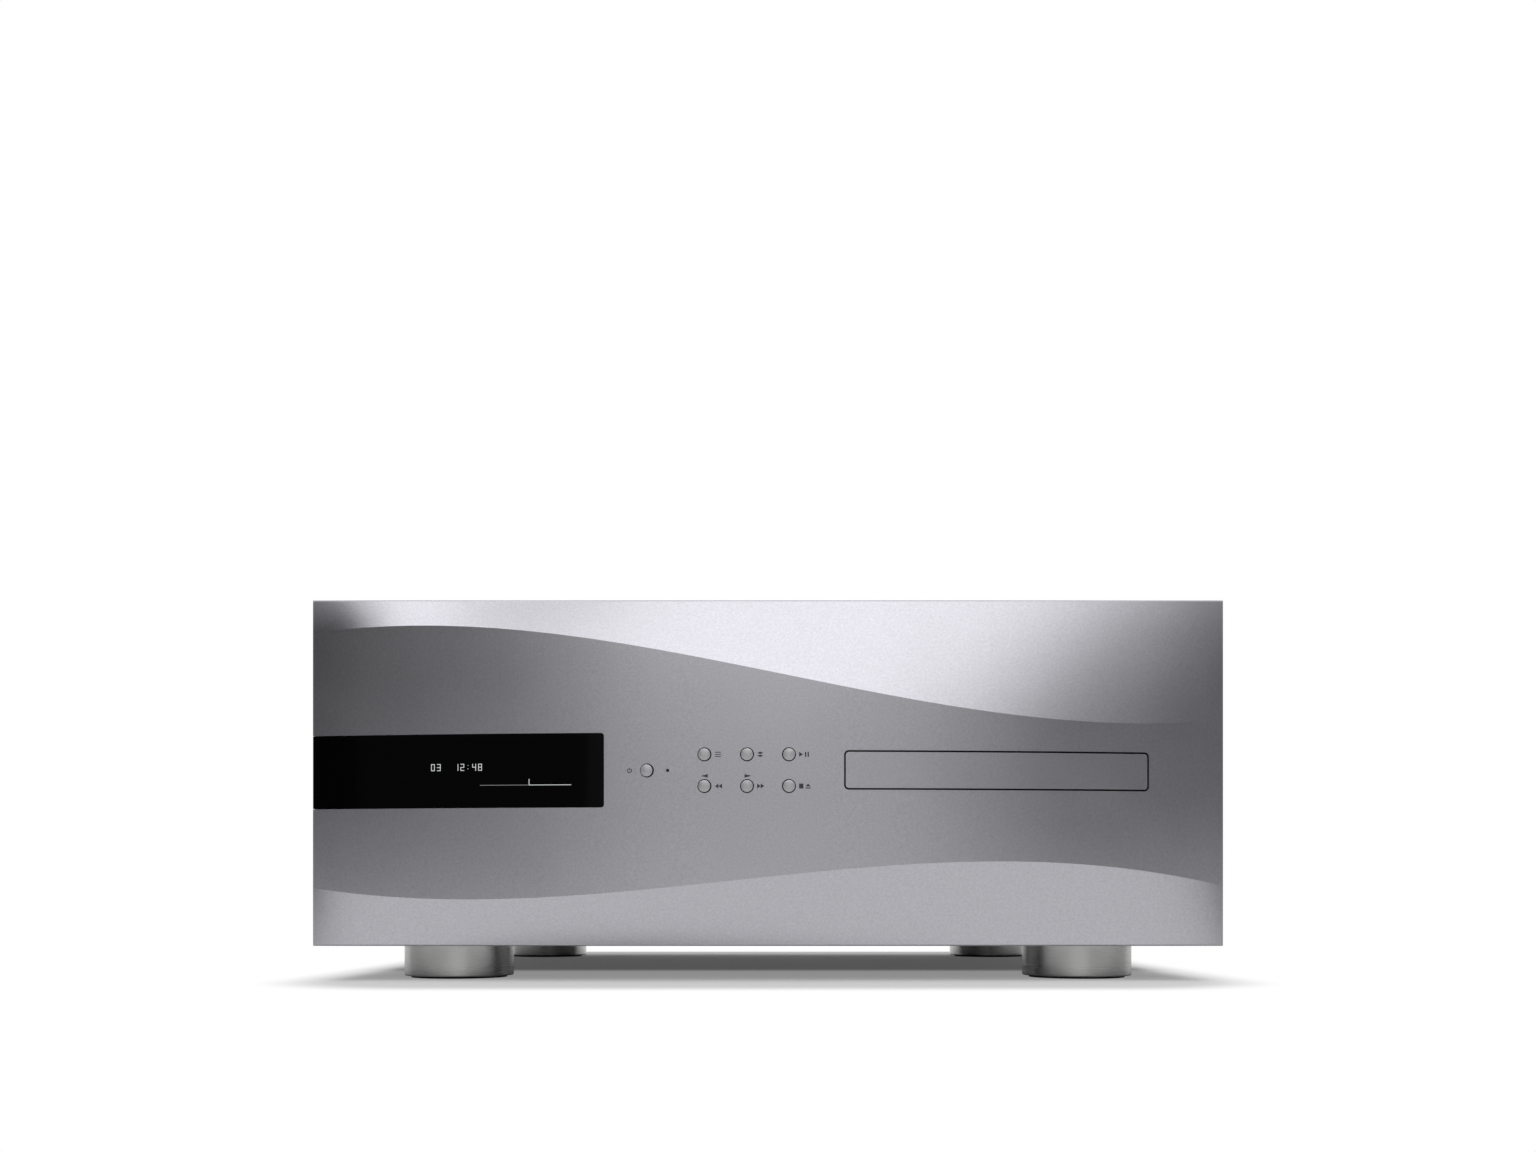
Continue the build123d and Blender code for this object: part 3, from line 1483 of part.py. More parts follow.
# Sockets on the rear panel
flange_face = rear_face + flange_thickness
inlet_centre = (inlet_place[0] + inlet_offset, inlet_place[1])
switch_centre = (inlet_place[0] + switch_offset, inlet_place[1])
rocker_pivot = flange_face - rocker_pivot_depth
with BuildPart() as mains_inlet:
    with BuildSketch(facing_front(flange_face)):
        with Locations(inlet_place):
            Rectangle(*inlet_flange)
    extrude(amount=flange_thickness)
    with BuildSketch(facing_front(rear_face)):
        with Locations(inlet_place):
            Rectangle(*inlet_body)
    extrude(amount=inlet_depth + inlet_wall - flange_thickness)
    with BuildSketch(facing_front(flange_face)):
        with Locations(inlet_centre):
            Rectangle(*inlet_cavity)
    extrude(amount=inlet_depth, mode=Mode.SUBTRACT)
    with BuildSketch(facing_front(flange_face)):
        with Locations(switch_centre):
            Rectangle(rocker_size[0] + 2 * rocker_side_gap, rocker_size[1] + 2 * rocker_gap)
    extrude(amount=rocker_pivot_depth + rocker_back + rocker_gap, mode=Mode.SUBTRACT)
    with BuildSketch(facing_front(flange_face - inlet_depth + inlet_pin_length)):
        with Locations(
            (inlet_centre[0] - inlet_pin_spacing, inlet_centre[1] - inlet_pin_rise / 2),
            (inlet_centre[0] + inlet_pin_spacing, inlet_centre[1] - inlet_pin_rise / 2),
            (inlet_centre[0], inlet_centre[1] + inlet_pin_rise / 2),
        ):
            Rectangle(inlet_pin[1], inlet_pin[0])
    extrude(amount=inlet_pin_length + inlet_wall / 2)
    with BuildSketch(Plane.YZ.offset(switch_centre[0])):
        with Locations((rocker_pivot, switch_centre[1])):
            Circle(rocker_pivot_radius + shaft_gap)
    extrude(
        amount=rocker_size[0] / 2 + rocker_pivot_reach + rocker_side_gap,
        both=True,
        mode=Mode.SUBTRACT,
    )
save(mains_inlet.part, "mains_inlet")

half_rocker = rocker_size[1] / 2
with BuildPart() as power_rocker:
    with BuildSketch(Plane.YZ.offset(switch_centre[0])):
        with Locations(Location((rocker_pivot, switch_centre[1]), -rocker_angle)):
            Polygon(
                (rocker_pivot_depth + rocker_stand, -half_rocker),
                (rocker_pivot_depth + rocker_stand - rocker_dip, 0),
                (rocker_pivot_depth + rocker_stand, half_rocker),
                (rocker_pivot_radius, half_rocker - rocker_pivot_radius),
                (-rocker_back, rocker_back),
                (-rocker_back, -rocker_back),
                (rocker_pivot_radius, rocker_pivot_radius - half_rocker),
                align=None,
            )
    extrude(amount=rocker_size[0] / 2, both=True)
    with BuildSketch(Plane.YZ.offset(switch_centre[0])):
        with Locations((rocker_pivot, switch_centre[1])):
            Circle(rocker_pivot_radius)
    extrude(amount=rocker_size[0] / 2 + rocker_pivot_reach, both=True)
save(power_rocker.part, "power_rocker")

digital_rows = [(across, socket_row) for across in digital_places]
with BuildPart() as digital_sockets:
    with BuildSketch(facing_front(flange_face)):
        with Locations(*digital_rows):
            Rectangle(*digital_flange)
    extrude(amount=flange_thickness)
    with BuildSketch(facing_front(rear_face)):
        with Locations(*digital_rows):
            Circle(digital_shell_radius)
    extrude(amount=digital_depth + inlet_wall)
    with BuildSketch(facing_front(flange_face)):
        with Locations(*digital_rows):
            Circle(digital_cavity_radius)
    extrude(amount=digital_depth, mode=Mode.SUBTRACT)
    with BuildSketch(facing_front(flange_face - digital_depth + digital_pin_length)):
        with Locations(*digital_rows):
            with PolarLocations(digital_pin_circle, 3, 90):
                Circle(digital_pin_radius)
    extrude(amount=digital_pin_length + inlet_wall / 2)
save(digital_sockets.part, "digital_sockets")

coax_rows = [(across, socket_row) for across in coax_places]
socket_end = rear_face + connector_reach
with BuildPart() as coax_sockets:
    with BuildSketch(facing_front(socket_end)):
        with Locations(*coax_rows):
            Circle(coax_barrel_radius)
            Circle(coax_bore_radius, mode=Mode.SUBTRACT)
            Circle(coax_core_radius)
    extrude(amount=connector_reach - coax_nut_height)
    with BuildSketch(facing_front(rear_face + coax_nut_height)):
        with Locations(*coax_rows):
            RegularPolygon(coax_nut_radius, 6)
    extrude(amount=coax_nut_height)
    with BuildSketch(facing_front(rear_face)):
        with Locations(*coax_rows):
            Circle(coax_barrel_radius)
    extrude(amount=rear_thickness + digital_depth)
save(coax_sockets.part, "coax_sockets")

# Flat cable from the button board, down the plate and along the base to the main board
cable_start = button_board_front + circuit_thickness
cable_floor = base_top + cable_thickness
board_edge = main_board_place[1] - main_board_size[1] / 2
with BuildPart() as flat_cable:
    with BuildSketch(Plane.YZ.offset(cable_place - cable_width / 2)):
        with BuildLine():
            FilletPolyline(
                (cable_start, button_mid_z),
                (plate_back + cable_bend, button_mid_z),
                (plate_back + cable_bend, cable_floor),
                (board_edge - 2 * cable_bend, cable_floor),
                (board_edge - 2 * cable_bend, board_bottom + circuit_thickness / 2),
                (board_edge, board_bottom + circuit_thickness / 2),
                radius=cable_bend / 2,
            )
        trace(line_width=cable_thickness)
    extrude(amount=cable_width)
save(flat_cable.part, "flat_cable")
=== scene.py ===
import math
import bpy
import bmesh
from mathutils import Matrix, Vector


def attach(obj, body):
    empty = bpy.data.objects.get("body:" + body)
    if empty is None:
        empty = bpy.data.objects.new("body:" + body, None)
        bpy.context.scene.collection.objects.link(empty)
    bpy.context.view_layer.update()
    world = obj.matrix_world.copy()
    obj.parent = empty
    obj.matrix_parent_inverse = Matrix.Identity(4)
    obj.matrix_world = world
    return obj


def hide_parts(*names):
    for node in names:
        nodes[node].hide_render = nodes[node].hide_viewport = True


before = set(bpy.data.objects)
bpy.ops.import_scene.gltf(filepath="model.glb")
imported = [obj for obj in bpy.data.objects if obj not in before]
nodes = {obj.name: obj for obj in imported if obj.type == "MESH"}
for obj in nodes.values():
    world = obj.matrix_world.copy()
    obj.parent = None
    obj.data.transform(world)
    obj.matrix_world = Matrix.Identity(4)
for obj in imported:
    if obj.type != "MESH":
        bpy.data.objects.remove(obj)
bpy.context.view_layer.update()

# Metres throughout. +X is right seen from the front, the front faces -Y.
# Between the two waves the face bows out to "apex", above and below them it runs back to "edge" at the rims.
# A wave is level, slope, swing, rate and phase. The last two lines serve to read the face's own slope.
plate = {"halfWidth": 0.222, "bowRise": 0.01745, "apex": -0.2174, "edge": -0.1999,
         "bottom": 0.0172, "top": 0.186, "upper": (0.13127, 0.05166, 0.0766, 1.2646, 3.1372),
         "lower": (0.02536, -0.08985, -0.09998, 1.1365, 3.2228),
         "rim": 0.0006, "rimInside": 0.00055, "onFace": 0.00025, "step": 0.0004,
         "facing": -0.3, "weld": 1e-7}
bowRadius = (plate["halfWidth"] ** 2 + plate["bowRise"] ** 2) / (2 * plate["bowRise"])
bowCentre = plate["apex"] + bowRadius


def bowY(x):
    return bowCentre - math.sqrt(bowRadius ** 2 - x * x)


def waveZ(x, wave):
    level, slope, swing, rate, phase = wave
    share = x / plate["halfWidth"]
    return plate["bottom"] + level + slope * share + swing * math.sin(rate * share + phase)


# Camera at the photograph's place: straight in front, low, level, lifted only by its shift
view = {"distance": 0.752, "height": 0.0374, "lens": 36.12, "sensor": 36.0, "shift": 0.2139,
        "near": 0.01, "far": 60.0}
cameraData = bpy.data.cameras.new("viewCamera")
cameraData.lens = view["lens"]
cameraData.sensor_width = view["sensor"]
cameraData.shift_y = view["shift"]
cameraData.clip_start = view["near"]
cameraData.clip_end = view["far"]
camera = bpy.data.objects.new("viewCamera", cameraData)
camera.location = (0.0, plate["edge"] - view["distance"], view["height"])
camera.rotation_euler = (math.radians(90), 0.0, 0.0)
bpy.context.scene.collection.objects.link(camera)
bpy.context.scene.camera = camera
print("camera set")


# Small helpers for node trees
def addNode(tree, kind, **settings):
    node = tree.nodes.new(kind)
    for name, value in settings.items():
        setattr(node, name, value)
    return node


def feed(tree, socket, value):
    if isinstance(value, bpy.types.NodeSocket):
        tree.links.new(value, socket)
    else:
        socket.default_value = value


def doMath(tree, operation, first, second=0.0, third=None):
    node = addNode(tree, "ShaderNodeMath", operation=operation)
    feed(tree, node.inputs[0], first)
    feed(tree, node.inputs[1], second)
    if third is not None:
        feed(tree, node.inputs[2], third)
    return node.outputs[0]


def doVector(tree, operation, first, second=None):
    node = addNode(tree, "ShaderNodeVectorMath", operation=operation)
    feed(tree, node.inputs[0], first)
    if second is not None:
        feed(tree, node.inputs["Scale" if operation == "SCALE" else 1], second)
    return node.outputs["Value" if operation == "LENGTH" else "Vector"]


def splitVector(tree, vector):
    node = addNode(tree, "ShaderNodeSeparateXYZ")
    tree.links.new(vector, node.inputs[0])
    return node.outputs


def mapRange(tree, value, span, interpolation):
    node = addNode(tree, "ShaderNodeMapRange", interpolation_type=interpolation)
    tree.links.new(value, node.inputs["Value"])
    node.inputs["From Min"].default_value, node.inputs["From Max"].default_value = span
    return node


# Whether a ray comes from the camera, and whether it was mirrored or went through glass
def rayKinds(tree):
    path = addNode(tree, "ShaderNodeLightPath")
    mirror = doMath(tree, "MAXIMUM", path.outputs["Is Glossy Ray"], path.outputs["Is Transmission Ray"])
    return path.outputs["Is Camera Ray"], mirror


def mixColour(tree, share, first, second):
    node = addNode(tree, "ShaderNodeMix", data_type="RGBA")
    feed(tree, node.inputs[0], share)
    feed(tree, node.inputs[6], first)
    feed(tree, node.inputs[7], second)
    return node.outputs[2]


def newGroup(name, inputs, outputs):
    group = bpy.data.node_groups.new(name, "ShaderNodeTree")
    for label, kind, value in inputs:
        socket = group.interface.new_socket(name=label, in_out="INPUT", socket_type=kind)
        if value is not None:
            socket.default_value = value
    for label, kind in outputs:
        group.interface.new_socket(name=label, in_out="OUTPUT", socket_type=kind)
    return group, group.nodes.new("NodeGroupInput"), group.nodes.new("NodeGroupOutput")


lookOutputs = [("Colour", "NodeSocketColor"), ("Roughness", "NodeSocketFloat"), ("Height", "NodeSocketFloat")]

# Grain: a fine speckle over a slow cloud, for blasted metal and moulded plastic. Noise swings round 0.5.
grainShape = {"fineDetail": 2.0, "cloudDetail": 3.0, "cloudSize": 45.0, "toneSwing": 4.0, "roughSwing": 2.0}
grain, inside, outside = newGroup(
    "surfaceGrain",
    [("Vector", "NodeSocketVector", None), ("Colour", "NodeSocketColor", (0.5, 0.5, 0.5, 1)),
     ("Scale", "NodeSocketFloat", 1500.0), ("Speckle", "NodeSocketFloat", 0.06),
     ("Rough", "NodeSocketFloat", 0.4), ("Rough Range", "NodeSocketFloat", 0.05)], lookOutputs)
fine = addNode(grain, "ShaderNodeTexNoise")
fine.inputs["Detail"].default_value = grainShape["fineDetail"]
grain.links.new(inside.outputs["Vector"], fine.inputs["Vector"])
grain.links.new(inside.outputs["Scale"], fine.inputs["Scale"])
cloud = addNode(grain, "ShaderNodeTexNoise")
cloud.inputs["Detail"].default_value = grainShape["cloudDetail"]
grain.links.new(inside.outputs["Vector"], cloud.inputs["Vector"])
cloudScale = doMath(grain, "DIVIDE", inside.outputs["Scale"], grainShape["cloudSize"])
grain.links.new(cloudScale, cloud.inputs["Scale"])
centred = doMath(grain, "SUBTRACT", fine.outputs[0], 0.5)
speckle = doMath(grain, "MULTIPLY", inside.outputs["Speckle"], grainShape["toneSwing"])
swing = doMath(grain, "MULTIPLY_ADD", centred, speckle, 1.0)
grain.links.new(doVector(grain, "SCALE", inside.outputs["Colour"], swing), outside.inputs["Colour"])
slow = doMath(grain, "SUBTRACT", cloud.outputs[0], 0.5)
drift = doMath(grain, "MULTIPLY", slow, grainShape["roughSwing"])
grain.links.new(doMath(grain, "MULTIPLY_ADD", drift, inside.outputs["Rough Range"], inside.outputs["Rough"]),
                outside.inputs["Roughness"])
grain.links.new(fine.outputs[0], outside.inputs["Height"])

# Lines left by a lathe, running round the Z axis
turnedShape = {"detail": 4.0, "roughSwing": 0.2}
turned, inside, outside = newGroup(
    "turnedLines",
    [("Vector", "NodeSocketVector", None), ("Colour", "NodeSocketColor", (0.5, 0.5, 0.5, 1)),
     ("Lines", "NodeSocketFloat", 4000.0), ("Contrast", "NodeSocketFloat", 0.1),
     ("Rough", "NodeSocketFloat", 0.3)], lookOutputs)
heightLine = addNode(turned, "ShaderNodeTexNoise", noise_dimensions="1D")
heightLine.inputs["Detail"].default_value = turnedShape["detail"]
turned.links.new(splitVector(turned, inside.outputs["Vector"])["Z"], heightLine.inputs["W"])
turned.links.new(inside.outputs["Lines"], heightLine.inputs["Scale"])
lineSwing = doMath(turned, "SUBTRACT", heightLine.outputs[0], 0.5)
lineTone = doMath(turned, "MULTIPLY_ADD", lineSwing, inside.outputs["Contrast"], 1.0)
turned.links.new(doVector(turned, "SCALE", inside.outputs["Colour"], lineTone), outside.inputs["Colour"])
lineRough = doMath(turned, "MULTIPLY_ADD", lineSwing, turnedShape["roughSwing"], inside.outputs["Rough"])
turned.links.new(lineRough, outside.inputs["Roughness"])
turned.links.new(heightLine.outputs[0], outside.inputs["Height"])

# A mask that is 1 near an axis along Y, for pins and cores in sockets
axisMask, inside, outside = newGroup(
    "axisMask",
    [("Vector", "NodeSocketVector", None), ("Centre", "NodeSocketVector", (0, 0, 0)),
     ("Radius", "NodeSocketFloat", 0.008)],
    [("Mask", "NodeSocketFloat")])
offset = doVector(axisMask, "SUBTRACT", inside.outputs["Vector"], inside.outputs["Centre"])
acrossAxis = doVector(axisMask, "LENGTH", doVector(axisMask, "MULTIPLY", offset, (1, 0, 1)))
axisMask.links.new(doMath(axisMask, "LESS_THAN", acrossAxis, inside.outputs["Radius"]),
                   outside.inputs["Mask"])

# A mask of painted shade: 1 on the walls behind the bowed face, inside the openings for buttons, window and
# tray, where shade falls in the gaps
openings = {"depth": 0.00015, "buttonShadeDepth": -0.00052, "middle": 0.1003, "half": 0.0185, "reach": 0.2205}
openingShadeMask, inside, outside = newGroup(
    "openingShadeMask",
    [("Vector", "NodeSocketVector", None), ("Depth", "NodeSocketFloat", openings["depth"])],
    [("Mask", "NodeSocketFloat")])
apart = splitVector(openingShadeMask, inside.outputs["Vector"])
squareX = doMath(openingShadeMask, "MULTIPLY", apart["X"], apart["X"])
bowReach = doMath(openingShadeMask, "SQRT", doMath(openingShadeMask, "SUBTRACT", bowRadius ** 2, squareX))
behind = doMath(openingShadeMask, "SUBTRACT", doMath(openingShadeMask, "ADD", apart["Y"], bowReach), bowCentre)
rise = doMath(openingShadeMask, "ABSOLUTE", doMath(openingShadeMask, "SUBTRACT", apart["Z"], openings["middle"]))
side = doMath(openingShadeMask, "ABSOLUTE", apart["X"])
within = doMath(openingShadeMask, "MULTIPLY", doMath(openingShadeMask, "LESS_THAN", rise, openings["half"]),
                doMath(openingShadeMask, "LESS_THAN", side, openings["reach"]))
deep = doMath(openingShadeMask, "GREATER_THAN", behind, inside.outputs["Depth"])
shadedWalls = doMath(openingShadeMask, "MULTIPLY", within, deep)

# The painted shade is 1 as well in a thin band on the edge of the tray slot, a box in X and Z with rounded
# corners
trayEdge = {"centre": (0.1104, 0.10163), "half": (0.0738, 0.00913), "corner": 0.002, "edge": 0.00032}
past = []
for axis, centre, half in zip("XZ", trayEdge["centre"], trayEdge["half"]):
    offset = doMath(openingShadeMask, "ABSOLUTE", doMath(openingShadeMask, "SUBTRACT", apart[axis], centre))
    past.append(doMath(openingShadeMask, "SUBTRACT", offset, half - trayEdge["corner"]))
outer = [doMath(openingShadeMask, "POWER", doMath(openingShadeMask, "MAXIMUM", value, 0.0), 2.0) for value in past]
cornerPart = doMath(openingShadeMask, "SQRT", doMath(openingShadeMask, "ADD", *outer))
inner = doMath(openingShadeMask, "MINIMUM", doMath(openingShadeMask, "MAXIMUM", *past), 0.0)
fromEdge = doMath(openingShadeMask, "SUBTRACT", doMath(openingShadeMask, "ADD", cornerPart, inner), trayEdge["corner"])
# painted shade: a thin black band along both sides of the tray slot's edge
edge = doMath(openingShadeMask, "LESS_THAN", doMath(openingShadeMask, "ABSOLUTE", fromEdge), trayEdge["edge"])
openingShadeMask.links.new(doMath(openingShadeMask, "MAXIMUM", shadedWalls, edge), outside.inputs["Mask"])
print("shader groups built")


# A socket's name is written with _ for its spaces in the calls below
def startMaterial(name, **sockets):
    material = bpy.data.materials.new(name)
    material.use_nodes = True
    tree = material.node_tree
    shader = tree.nodes["Principled BSDF"]
    for label, value in sockets.items():
        shader.inputs[label.replace("_", " ")].default_value = value
    place = addNode(tree, "ShaderNodeTexCoord").outputs["Object"]
    return material, tree, shader, place


def useGroup(tree, group, **values):
    node = addNode(tree, "ShaderNodeGroup", node_tree=group)
    for label, value in values.items():
        feed(tree, node.inputs[label.replace("_", " ")], value)
    return node


def dress(tree, shader, look):
    tree.links.new(look.outputs["Colour"], shader.inputs["Base Color"])
    tree.links.new(look.outputs["Roughness"], shader.inputs["Roughness"])


def grainOver(tree, shader, place, tone, scale, speckle, rough, roughRange):
    look = useGroup(tree, grain, Vector=place, Colour=tone, Scale=scale, Speckle=speckle,
                    Rough=rough, Rough_Range=roughRange)
    dress(tree, shader, look)
    return look


def addBump(tree, shader, height, distance):
    bump = addNode(tree, "ShaderNodeBump")
    bump.inputs["Distance"].default_value = distance
    tree.links.new(height, bump.inputs["Height"])
    tree.links.new(bump.outputs[0], shader.inputs["Normal"])


# Tones of the finishes, the black of the painted shade in the front's openings, and the blast's bump depth
finish = {"plate": (0.430, 0.424, 0.457), "trayFace": (0.412, 0.406, 0.438), "panel": (0.37, 0.366, 0.385),
          "foot": (0.45, 0.45, 0.445), "button": (0.40, 0.40, 0.41), "openingShade": (0.008, 0.008, 0.009),
          "blastDepth": 0.000008}


# Beyond the shade depth, where one is given, the walls inside the front's openings are painted black as
# shade, and so is the tray slot's edge
def grainMaterial(name, colour, scale, speckle, rough, roughRange=0.05, depth=0.00001, shadeDepth=None,
                  **sockets):
    material, tree, shader, place = startMaterial(name, **sockets)
    tone = (*colour, 1)
    if shadeDepth is not None:
        openingShade = useGroup(tree, openingShadeMask, Vector=place, Depth=shadeDepth).outputs["Mask"]
        tone = mixColour(tree, openingShade, tone, (*finish["openingShade"], 1))
    look = grainOver(tree, shader, place, tone, scale, speckle, rough, roughRange)
    if depth:
        addBump(tree, shader, look.outputs["Height"], depth)
    return material


def turnedMaterial(name, colour, lines, contrast, rough, depth=0.000004):
    material, tree, shader, place = startMaterial(name, Metallic=1.0)
    look = useGroup(tree, turned, Vector=place, Colour=(*colour, 1), Lines=lines, Contrast=contrast,
                    Rough=rough)
    dress(tree, shader, look)
    addBump(tree, shader, look.outputs["Height"], depth)
    return material


# Metals. The numbers are the grain's scale and speckle, the roughness and its range, and the bump's depth,
# and for turned metal the lines' scale, their contrast and the roughness.
# The plate wears painted black shade in its openings and along the tray slot's edge
blastedPlate = grainMaterial("blastedPlate", finish["plate"], 1100, 0.10, 0.30, 0.03, finish["blastDepth"],
                             openings["depth"], Metallic=1.0)
trayFaceMetal = grainMaterial("trayFaceMetal", finish["trayFace"], 1100, 0.085, 0.31, 0.03,
                              finish["blastDepth"], Metallic=1.0)
casePanel = grainMaterial("casePanel", finish["panel"], 1200, 0.06, 0.42, 0.008, Metallic=1.0)
# The buttons get a black rim of painted shade where they stand only a little proud of the face
domeButton = grainMaterial("domeButton", finish["button"], 1800, 0.06, 0.60, 0.03, finish["blastDepth"],
                           openings["buttonShadeDepth"], Metallic=1.0)
turnedFoot = turnedMaterial("turnedFoot", finish["foot"], 5000, 0.16, 0.30)
screwSteel = turnedMaterial("screwSteel", (0.33, 0.33, 0.34), 3000, 0.2, 0.3)
motorCan = turnedMaterial("motorCan", (0.55, 0.55, 0.56), 2500, 0.15, 0.3)
copperWire = grainMaterial("copperWire", (0.75, 0.30, 0.12), 2000, 0.08, 0.28, Metallic=1.0)

# Plastics, rubbers, paint and ink, with the same numbers
footRubber = grainMaterial("footRubber", (0.018, 0.018, 0.018), 900, 0.2, 0.8)
loaderPaint = grainMaterial("loaderPaint", (0.045, 0.045, 0.05), 2500, 0.12, 0.55)
trayPlastic = grainMaterial("trayPlastic", (0.022, 0.022, 0.024), 2200, 0.18, 0.5)
gearPlastic = grainMaterial("gearPlastic", (0.72, 0.71, 0.66), 1800, 0.03, 0.42)
beltRubber = grainMaterial("beltRubber", (0.02, 0.02, 0.02), 1500, 0.2, 0.7)
rockerPlastic = grainMaterial("rockerPlastic", (0.025, 0.025, 0.026), 2500, 0.1, 0.32)
lightLens = grainMaterial("lightLens", (0.008, 0.008, 0.008), 4000, 0.1, 0.15)
tapeWrap = grainMaterial("tapeWrap", (0.42, 0.26, 0.04), 300, 0.08, 0.35, 0.1)
printInk = grainMaterial("printInk", (0.022, 0.022, 0.024), 3000, 0.1, 0.6)
feltPad = grainMaterial("feltPad", (0.05, 0.05, 0.055), 4000, 0.3, 0.9)

# Black glass that hardly mirrors from straight in front, and a lens with a bluish coating
windowGlass = grainMaterial("windowGlass", (0.0012, 0.0012, 0.0014), 500, 0.05, 0.06, 0.02, depth=0,
                            Specular_IOR_Level=0.07)
coatedLens = grainMaterial("coatedLens", (0.10, 0.12, 0.32), 700, 0.08, 0.05, 0.02, depth=0,
                           Coat_Weight=1.0)

# Green board with paler tracks, black chips and switches, and dark sleeves with bare tops on the capacitors
board = {"top": 0.03185, "chipTop": 0.0350, "canTop": 0.0616, "switchBack": -0.20285, "trackScale": 90.0,
         "trackGap": 0.04, "trackDepth": 0.00003, "green": (0.012, 0.10, 0.045, 1),
         "otherGreen": (0.016, 0.12, 0.055, 1), "paleGreen": (0.05, 0.22, 0.11, 1),
         "chip": (0.02, 0.02, 0.022, 1), "sleeve": (0.012, 0.02, 0.07, 1), "bareTop": (0.62, 0.62, 0.63, 1)}
circuitGreen, tree, shader, place = startMaterial("circuitGreen")
tracks = addNode(tree, "ShaderNodeTexBrick")
tracks.inputs["Scale"].default_value = board["trackScale"]
tracks.inputs["Mortar Size"].default_value = board["trackGap"]
tracks.inputs["Color1"].default_value = board["green"]
tracks.inputs["Color2"].default_value = board["otherGreen"]
tracks.inputs["Mortar"].default_value = board["paleGreen"]
tree.links.new(place, tracks.inputs["Vector"])
apart = splitVector(tree, place)
inCase = doMath(tree, "GREATER_THAN", apart["Y"], 0.0)  # the button board stands in front of Y 0
over = [doMath(tree, "GREATER_THAN", apart["Z"], board[level]) for level in ("top", "chipTop", "canTop")]
onBoard, sleeve, canTop = [doMath(tree, "MULTIPLY", level, inCase) for level in over]
chip = doMath(tree, "MAXIMUM", onBoard, doMath(tree, "LESS_THAN", apart["Y"], board["switchBack"]))
tone = mixColour(tree, chip, tracks.outputs["Color"], board["chip"])
tone = mixColour(tree, sleeve, tone, board["sleeve"])
tone = mixColour(tree, canTop, tone, board["bareTop"])
grainOver(tree, shader, place, tone, scale=1500.0, speckle=0.05, rough=0.35, roughRange=0.06)
tree.links.new(canTop, shader.inputs["Metallic"])
bareBoard = doMath(tree, "SUBTRACT", 1.0, chip)
addBump(tree, shader, doMath(tree, "MULTIPLY", tracks.outputs["Fac"], bareBoard), board["trackDepth"])

# Flat cable: ribs side by side, one edge marked red, the grooves between the ribs darker as painted shade
cable = {"left": -0.024, "pitch": 0.001, "groove": 0.25, "ribDepth": 0.0002, "grey": (0.45, 0.45, 0.43, 1),
         "red": (0.45, 0.03, 0.02, 1), "dark": (0.22, 0.22, 0.21, 1)}
ribbonPlastic, tree, shader, place = startMaterial("ribbonPlastic")
fromLeft = doMath(tree, "SUBTRACT", splitVector(tree, place)["X"], cable["left"])
wires = doMath(tree, "DIVIDE", fromLeft, cable["pitch"])
rib = doMath(tree, "ABSOLUTE", doMath(tree, "SINE", doMath(tree, "MULTIPLY", wires, math.pi)))
firstWire = doMath(tree, "LESS_THAN", wires, 1.0)
tone = mixColour(tree, firstWire, cable["grey"], cable["red"])
# painted shade in the grooves between the ribs
tone = mixColour(tree, doMath(tree, "LESS_THAN", rib, cable["groove"]), tone, cable["dark"])
grainOver(tree, shader, place, tone, scale=700.0, speckle=0.06, rough=0.5, roughRange=0.05)
addBump(tree, shader, rib, cable["ribDepth"])

# Leadscrew: its thread is a helix round its own axis, one turn for each lead, darker in its valleys as
# painted shade
thread = {"axisX": 0.1244, "axisZ": 0.0745, "lead": 0.003, "depth": 0.0002, "valley": (0.22, 0.22, 0.23, 1),
          "crest": (0.55, 0.55, 0.56, 1)}
threadedSteel, tree, shader, place = startMaterial("threadedSteel", Metallic=1.0, Roughness=0.3)
apart = splitVector(tree, place)
turn = doMath(tree, "ARCTAN2", doMath(tree, "SUBTRACT", apart["Z"], thread["axisZ"]),
              doMath(tree, "SUBTRACT", apart["X"], thread["axisX"]))
along = doMath(tree, "MULTIPLY_ADD", apart["Y"], 2 * math.pi / thread["lead"], turn)
ridge = doMath(tree, "MULTIPLY_ADD", doMath(tree, "SINE", along), 0.5, 0.5)
# painted shade: the valleys darker than the crests
tree.links.new(mixColour(tree, ridge, thread["valley"], thread["crest"]), shader.inputs["Base Color"])
addBump(tree, shader, ridge, thread["depth"])


# Rear sockets: each is one body whose contacts are picked out by where they are
def nearAny(tree, place, centres, radius):
    mask = None
    for x, z in centres:
        one = useGroup(tree, axisMask, Vector=place, Centre=(x, 0, z), Radius=radius).outputs["Mask"]
        mask = one if mask is None else doMath(tree, "MAXIMUM", mask, one)
    return mask


digital = {"centres": ((0.054, 0.062), (0.092, 0.062)), "core": 0.0085, "floor": 0.1979,
           "shell": (0.55, 0.55, 0.56, 1), "pin": (0.85, 0.62, 0.25, 1), "bed": (0.02, 0.02, 0.02, 1)}
digitalMetal, tree, shader, place = startMaterial("digitalMetal")
core = nearAny(tree, place, digital["centres"], digital["core"])
proud = doMath(tree, "GREATER_THAN", splitVector(tree, place)["Y"], digital["floor"])
pins = doMath(tree, "MULTIPLY", core, proud)
bed = doMath(tree, "MULTIPLY", core, doMath(tree, "SUBTRACT", 1.0, proud))
tone = mixColour(tree, bed, mixColour(tree, pins, digital["shell"], digital["pin"]), digital["bed"])
grainOver(tree, shader, place, tone, scale=1800.0, speckle=0.04, rough=0.28, roughRange=0.05)
tree.links.new(doMath(tree, "SUBTRACT", 1.0, bed), shader.inputs["Metallic"])

